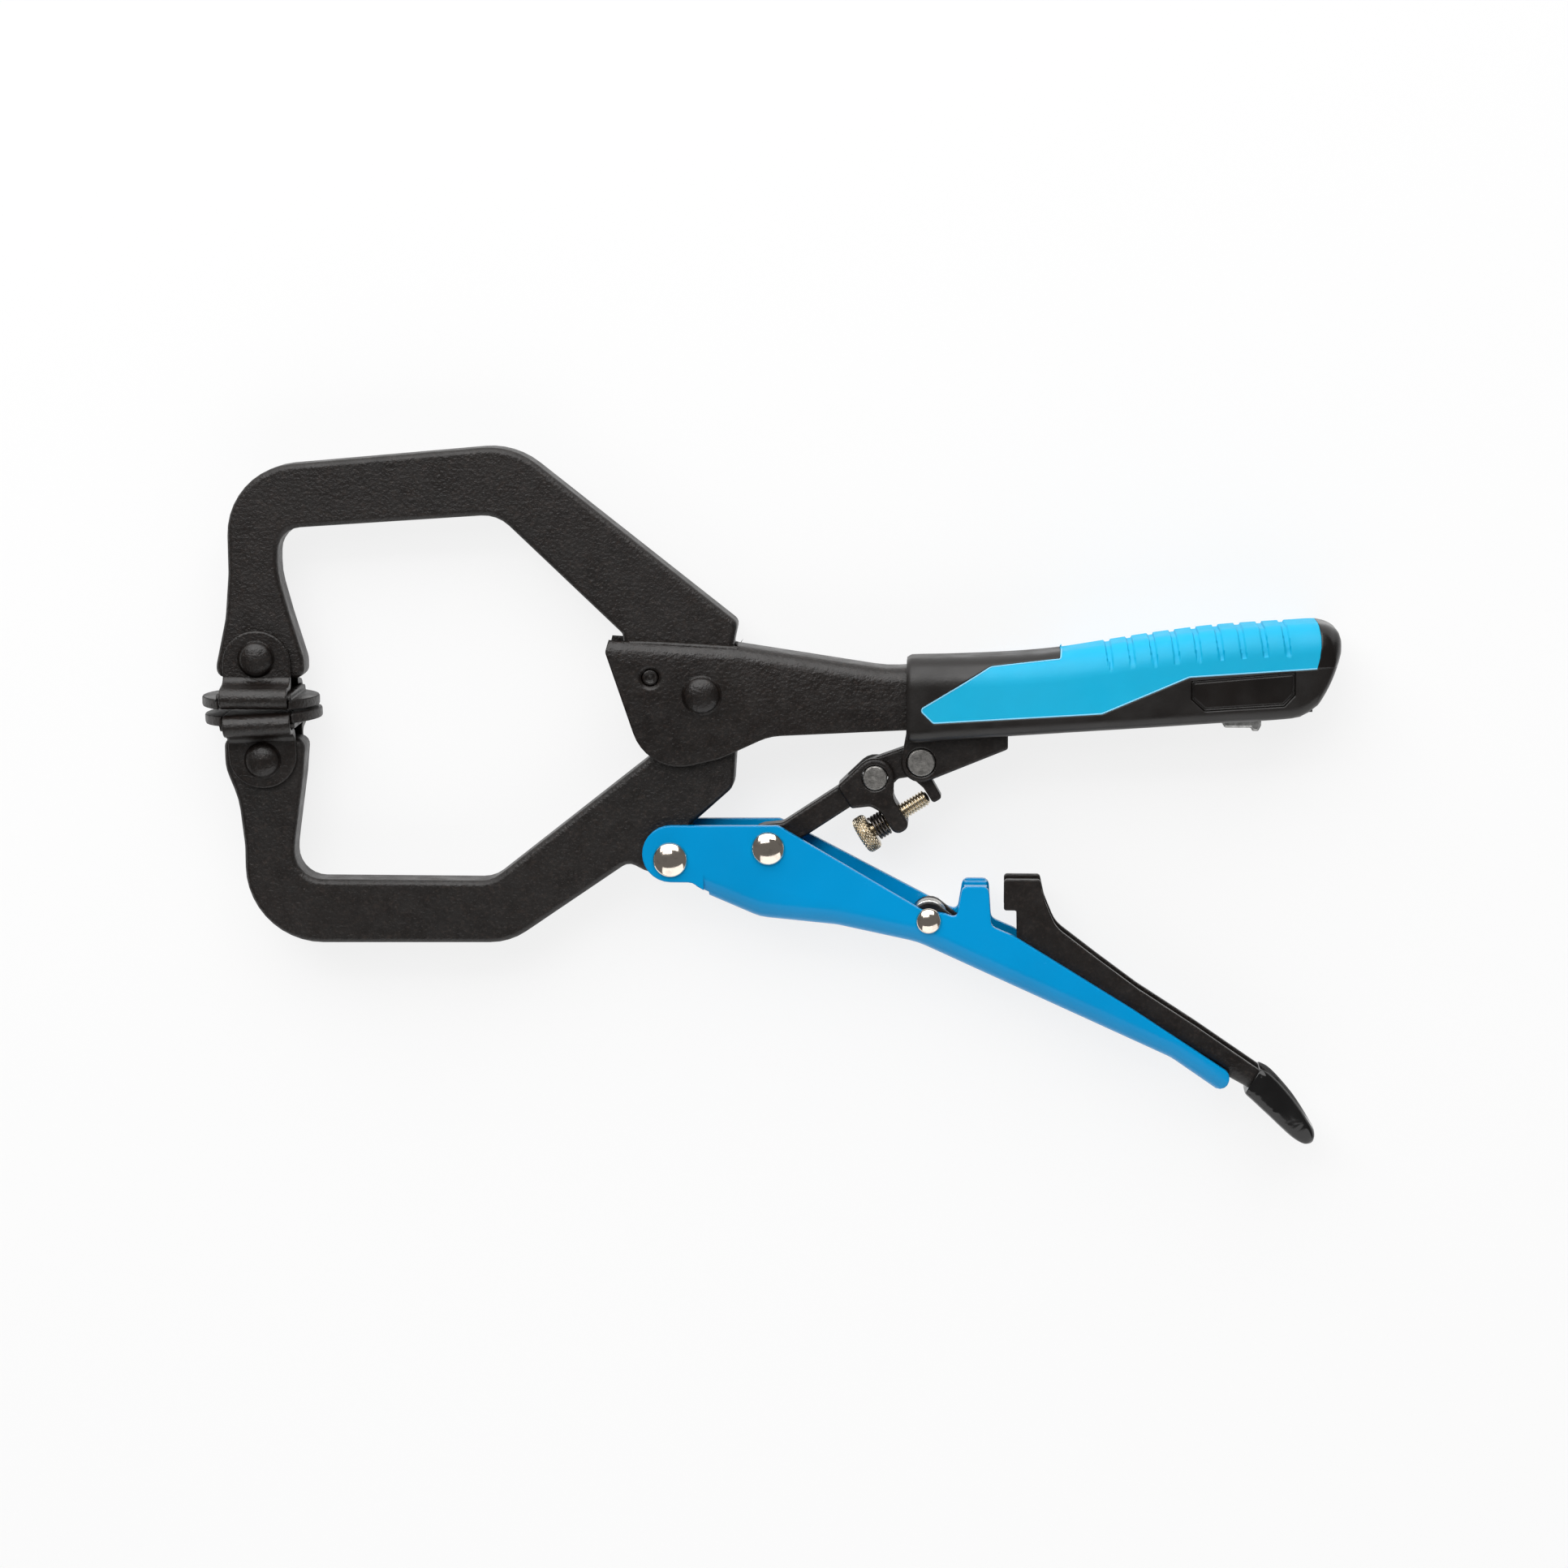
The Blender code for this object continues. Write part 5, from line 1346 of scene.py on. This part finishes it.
def finely(path, step):
    """A path with points no further apart than a step."""
    made = []
    for a, b in zip(path, path[1:]):
        count = max(1, math.ceil((Vector(b) - Vector(a)).length / step))
        for k in range(count):
            t = k / count
            made.append((a[0] + (b[0] - a[0]) * t, a[1] + (b[1] - a[1]) * t))
    made.append(path[-1])
    return made


def groove_dent(sizes):
    """How deep the cover's grooves are at a point of the side view."""
    centres = [FIRST_GROOVE + i * sizes.groove_pitch for i in range(sizes.groove_count)]
    half = sizes.groove_width / 2

    def dent(x, y):
        depth = 0.0
        for i, centre in enumerate(centres):
            offset = abs(x - centre - GROOVE_LEAN * (y - 12.0))
            if offset > half:
                continue
            foot = GROOVE_FOOT + GROOVE_CLIMB * i + half
            away = offset if y > foot else math.hypot(offset, y - foot)
            inside = min(1.0, max(0.0, (half - away) / GROOVE_WALL))
            depth = max(depth, sizes.groove_depth * inside * inside * (3 - 2 * inside))
        return depth

    return dent


def badge_outline():
    rear = GRIP_REAR - 11.1
    return [
        (118.8, 4.9),
        (118.8, 0.3),
        (122.1, -2.6),
        (rear - 2.6, -1.3),
        (rear, 1.5),
        (rear, 7.2),
    ]


def badge_panels():
    """Smooth panels with a raised rim, sunk in both sides of the core."""
    made = []
    floor = GRIP_HALF - BADGE_DEPTH
    for side in (1, -1):
        made.append(side_plate(inset(badge_outline(), 0.75), side, floor - 0.3, floor + 0.12))
        path = [Vector((x, y, side * (floor + 0.1))) for x, y in inset(badge_outline(), 0.35)]
        made.append(bead(path, 0.22, "cap_plastic", closed=True))
    return ready(joined(*made), 40)


class PLIERS_OT_grip(bpy.types.Operator):
    """Builds the grip's hard core, grooved soft cover, pale lip and end cap"""

    bl_idname = "pliers.grip"
    bl_label = "Grip"

    def execute(self, context):
        sizes = context.scene.pliers_sizes
        self.cover(sizes)
        self.core()
        self.cap()
        return {"FINISHED"}

    def cover(self, sizes):
        dent = groove_dent(sizes)
        places = [x for x in grip_places(1.6) if x < FIRST_GROOVE - 1.5 or x > GRIP_REAR - 8.0]
        x = FIRST_GROOVE - 1.4
        while x < GRIP_REAR - 8.2:
            places.append(x)
            x += 0.21
        rings = [grip_ring(x, 0.0, dent) for x in sorted(places)]
        shape = clip(loft(rings), plate(cover_zone(), -FAR, FAR))
        cut(shape, grip_body(COVER_THICKNESS, 3.0))
        put(ready(shape, 42), "soft_cover", "cover_rubber", "frame", "soft_blue", "grip_cover")
        beads = []
        for side in (1, -1):
            path = [
                Vector((x, y, side * (grip_side(x, y) - 0.1))) for x, y in finely(lip_path(), 1.2)
            ]
            beads.append(bead(path, 0.2, "cover_lip"))
        put(ready(joined(*beads), 60), "cover_lip", "cover_lip", "frame", "soft_blue")

    def core(self):
        shape = grip_body()
        shell = clip(grip_body(-3.0), plate(cover_zone(COVER_GAP), -FAR, FAR))
        cut(shell, grip_body(COVER_THICKNESS + COVER_GAP))
        cut(shape, shell)
        cut(shape, plate(cap_zone(COVER_GAP), -FAR, FAR))
        opening = 5.4
        cut(shape, box((30, -30, -opening), (106.0, 0, opening)))
        cut(shape, box((ANCHOR_FRONT - 0.4, -30, -4.0), (ANCHOR_REAR + 3.4, 0, 4.0)))
        cut(shape, self.channel_hollow())
        for side in (1, -1):
            cut(shape, side_plate(badge_outline(), side, GRIP_HALF - BADGE_DEPTH, 30.0))
        put(ready(shape, 30), "hard_core", "core_plastic", "frame", "black_plastic", "grip_core")
        put(badge_panels(), "badge_panels", "cap_plastic", "frame", "black_plastic")

    def channel_hollow(self):
        """The room for the folded channel inside the core."""
        half = CHEEK_HALF + FIT_GAP
        bend = 3.6
        profile = []
        for k in range(7):
            angle = math.pi / 2 * k / 6
            profile.append((half - bend + bend * math.sin(angle), -bend * (1 - math.cos(angle))))
        section = [(-z, drop) for z, drop in profile[::-1]] + profile
        rings = []
        for x in (40.0, 52.0, 148.8):
            top = along((45.0, 6.5), HANDLE_SLOPE, x) + FIT_GAP
            foot = along((55.0, -8.0), HANDLE_SLOPE, x) - FIT_GAP
            ring = [(x, top + drop, z) for z, drop in section]
            ring += [(x, foot, half), (x, foot, -half)]
            rings.append(ring)
        return loft(rings)

    def cap(self):
        shape = clip(grip_body(), plate(cap_zone(CAP_GAP), -FAR, FAR))
        cut(shape, box((130, -30, -CHEEK_HALF - 0.5), (149.4, 60, CHEEK_HALF + 0.5)))
        put(ready(shape, 30), "end_cap", "cap_plastic", "frame", "black_plastic", "grip_end_cap")


# Stage

VIEW_CENTRE = Vector((19.788, -22.768, 0.0))


class PLIERS_OT_stage(bpy.types.Operator):
    """Makes the floor, lamps, room light and camera"""

    bl_idname = "pliers.stage"
    bl_label = "Stage"

    def execute(self, context):
        stage = context.scene.pliers_stage
        context.scene.view_settings.view_transform = "Standard"
        self.floor()
        self.room(context.scene, stage.ambient)
        target = ORIGIN + VIEW_CENTRE * MM
        wide, small = (1.9, 1.3), (0.7, 0.5)
        self.lamp("key_lamp", target + Vector((-0.15, 1.05, 0.62)), target, wide, stage.key)
        self.lamp("fill_lamp", target + Vector((0.2, -1.0, 0.55)), target, wide, stage.fill)
        self.lamp("soft_lamp", target + Vector((-0.3, 0.55, 1.1)), target, small, stage.soft)
        self.camera(context.scene, stage, target)
        return {"FINISHED"}

    def floor(self):
        reach = 4.0
        corners = [(-reach, -reach, 0), (reach, -reach, 0), (reach, reach, 0), (-reach, reach, 0)]
        floor = fresh_object("floor", corners, [[0, 1, 2, 3]])
        look = Look("floor_white", (0.9, 0.9, 0.9), 0.9)
        glow = look.node("ShaderNodeEmission", {"Color": WHITE})
        rays = look.node("ShaderNodeLightPath").outputs
        inputs = {0: rays["Is Camera Ray"], 1: rays["Is Glossy Ray"]}
        seen = look.node("ShaderNodeMath", inputs, operation="MAXIMUM").outputs["Value"]
        away = look.node("ShaderNodeVectorMath", {0: look.where}, operation="LENGTH")
        share = look.ramp(away.outputs["Value"], 0.4, 1.1, 0.8, 1.0)
        part = look.node("ShaderNodeMath", {0: seen, 1: share}, operation="MULTIPLY")
        inputs = {"Fac": part.outputs["Value"], 1: look.shader.outputs["BSDF"]}
        blend = look.node("ShaderNodeMixShader", {**inputs, 2: glow.outputs["Emission"]})
        output = look.tree.nodes["Material Output"]
        fill(look.tree, output, {"Surface": blend.outputs["Shader"]})
        floor.data.materials.append(look.material)

    def room(self, scene, strength):
        world = bpy.data.worlds.new("studio")
        scene.world = world
        world.use_nodes = True
        tree = world.node_tree
        soft = fill(tree, tree.nodes["Background"], {"Color": WHITE, "Strength": strength})
        plain = add_node(tree, "ShaderNodeBackground", {"Color": WHITE, "Strength": 1.0})
        rays = add_node(tree, "ShaderNodeLightPath").outputs["Is Camera Ray"]
        inputs = {"Fac": rays, 1: soft.outputs["Background"], 2: plain.outputs["Background"]}
        blend = add_node(tree, "ShaderNodeMixShader", inputs)
        fill(tree, tree.nodes["World Output"], {"Surface": blend.outputs["Shader"]})

    def lamp(self, name, place, target, size, power):
        """A lamp that is longer along X."""
        light = bpy.data.lights.new(name, "AREA")
        light.shape = "RECTANGLE"
        light.size = size[0]
        light.size_y = size[1]
        light.energy = power
        made = bpy.data.objects.new(name, light)
        bpy.context.scene.collection.objects.link(made)
        made.location = place
        made.rotation_mode = "QUATERNION"
        back = (place - target).normalized()
        across = Vector((1.0, 0.0, 0.0)) - back * back.x
        across.normalize()
        turn = Matrix((across, back.cross(across), back)).transposed()
        made.rotation_quaternion = turn.to_quaternion()

    def camera(self, scene, stage, target):
        back = Vector(
            (
                math.sin(stage.yaw) * math.cos(stage.lift),
                math.sin(stage.lift),
                math.cos(stage.yaw) * math.cos(stage.lift),
            )
        )
        right = Vector((0.0, 1.0, 0.0)).cross(back).normalized()
        up = back.cross(right)
        data = bpy.data.cameras.new("studio_camera")
        data.sensor_width = 36.0
        data.lens = data.sensor_width * stage.distance / stage.width
        data.clip_start = 0.05
        data.clip_end = 20.0
        made = bpy.data.objects.new("studio_camera", data)
        scene.collection.objects.link(made)
        turn = Matrix((right, up, back)).transposed()
        made.rotation_mode = "QUATERNION"
        made.rotation_quaternion = turn.to_quaternion()
        made.location = target + back * stage.distance
        scene.camera = made


class PLIERS_PT_panel(bpy.types.Panel):
    """Lists the pliers' settings and pieces"""

    bl_idname = "PLIERS_PT_panel"
    bl_label = "Locking pliers"
    bl_space_type = "VIEW_3D"
    bl_region_type = "UI"
    bl_category = "Pliers"

    def draw(self, context):
        for group in (
            context.scene.pliers_finishes,
            context.scene.pliers_sizes,
            context.scene.pliers_stage,
        ):
            section = self.layout.box()
            for key in group.__annotations__:
                section.prop(group, key)
        for operator in OPERATORS:
            self.layout.operator(operator.bl_idname)


SETTINGS = {
    "pliers_finishes": PliersFinishes,
    "pliers_sizes": PliersSizes,
    "pliers_stage": PliersStage,
}
OPERATORS = [
    PLIERS_OT_stage,
    PLIERS_OT_jaws,
    PLIERS_OT_pads,
    PLIERS_OT_channel,
    PLIERS_OT_handle,
    PLIERS_OT_linkage,
    PLIERS_OT_screw,
    PLIERS_OT_springs,
    PLIERS_OT_lever,
    PLIERS_OT_grip,
]


def register():
    for group in SETTINGS.values():
        bpy.utils.register_class(group)
    for key, group in SETTINGS.items():
        setattr(bpy.types.Scene, key, bpy.props.PointerProperty(type=group))
    for operator in OPERATORS:
        bpy.utils.register_class(operator)
    bpy.utils.register_class(PLIERS_PT_panel)


def unregister():
    bpy.utils.unregister_class(PLIERS_PT_panel)
    for operator in reversed(OPERATORS):
        bpy.utils.unregister_class(operator)
    for key in SETTINGS:
        delattr(bpy.types.Scene, key)
    for group in reversed(list(SETTINGS.values())):
        bpy.utils.unregister_class(group)


def main():
    register()
    for operator in OPERATORS:
        group, name = operator.bl_idname.split(".")
        getattr(getattr(bpy.ops, group), name)()


if __name__ == "__main__":
    main()
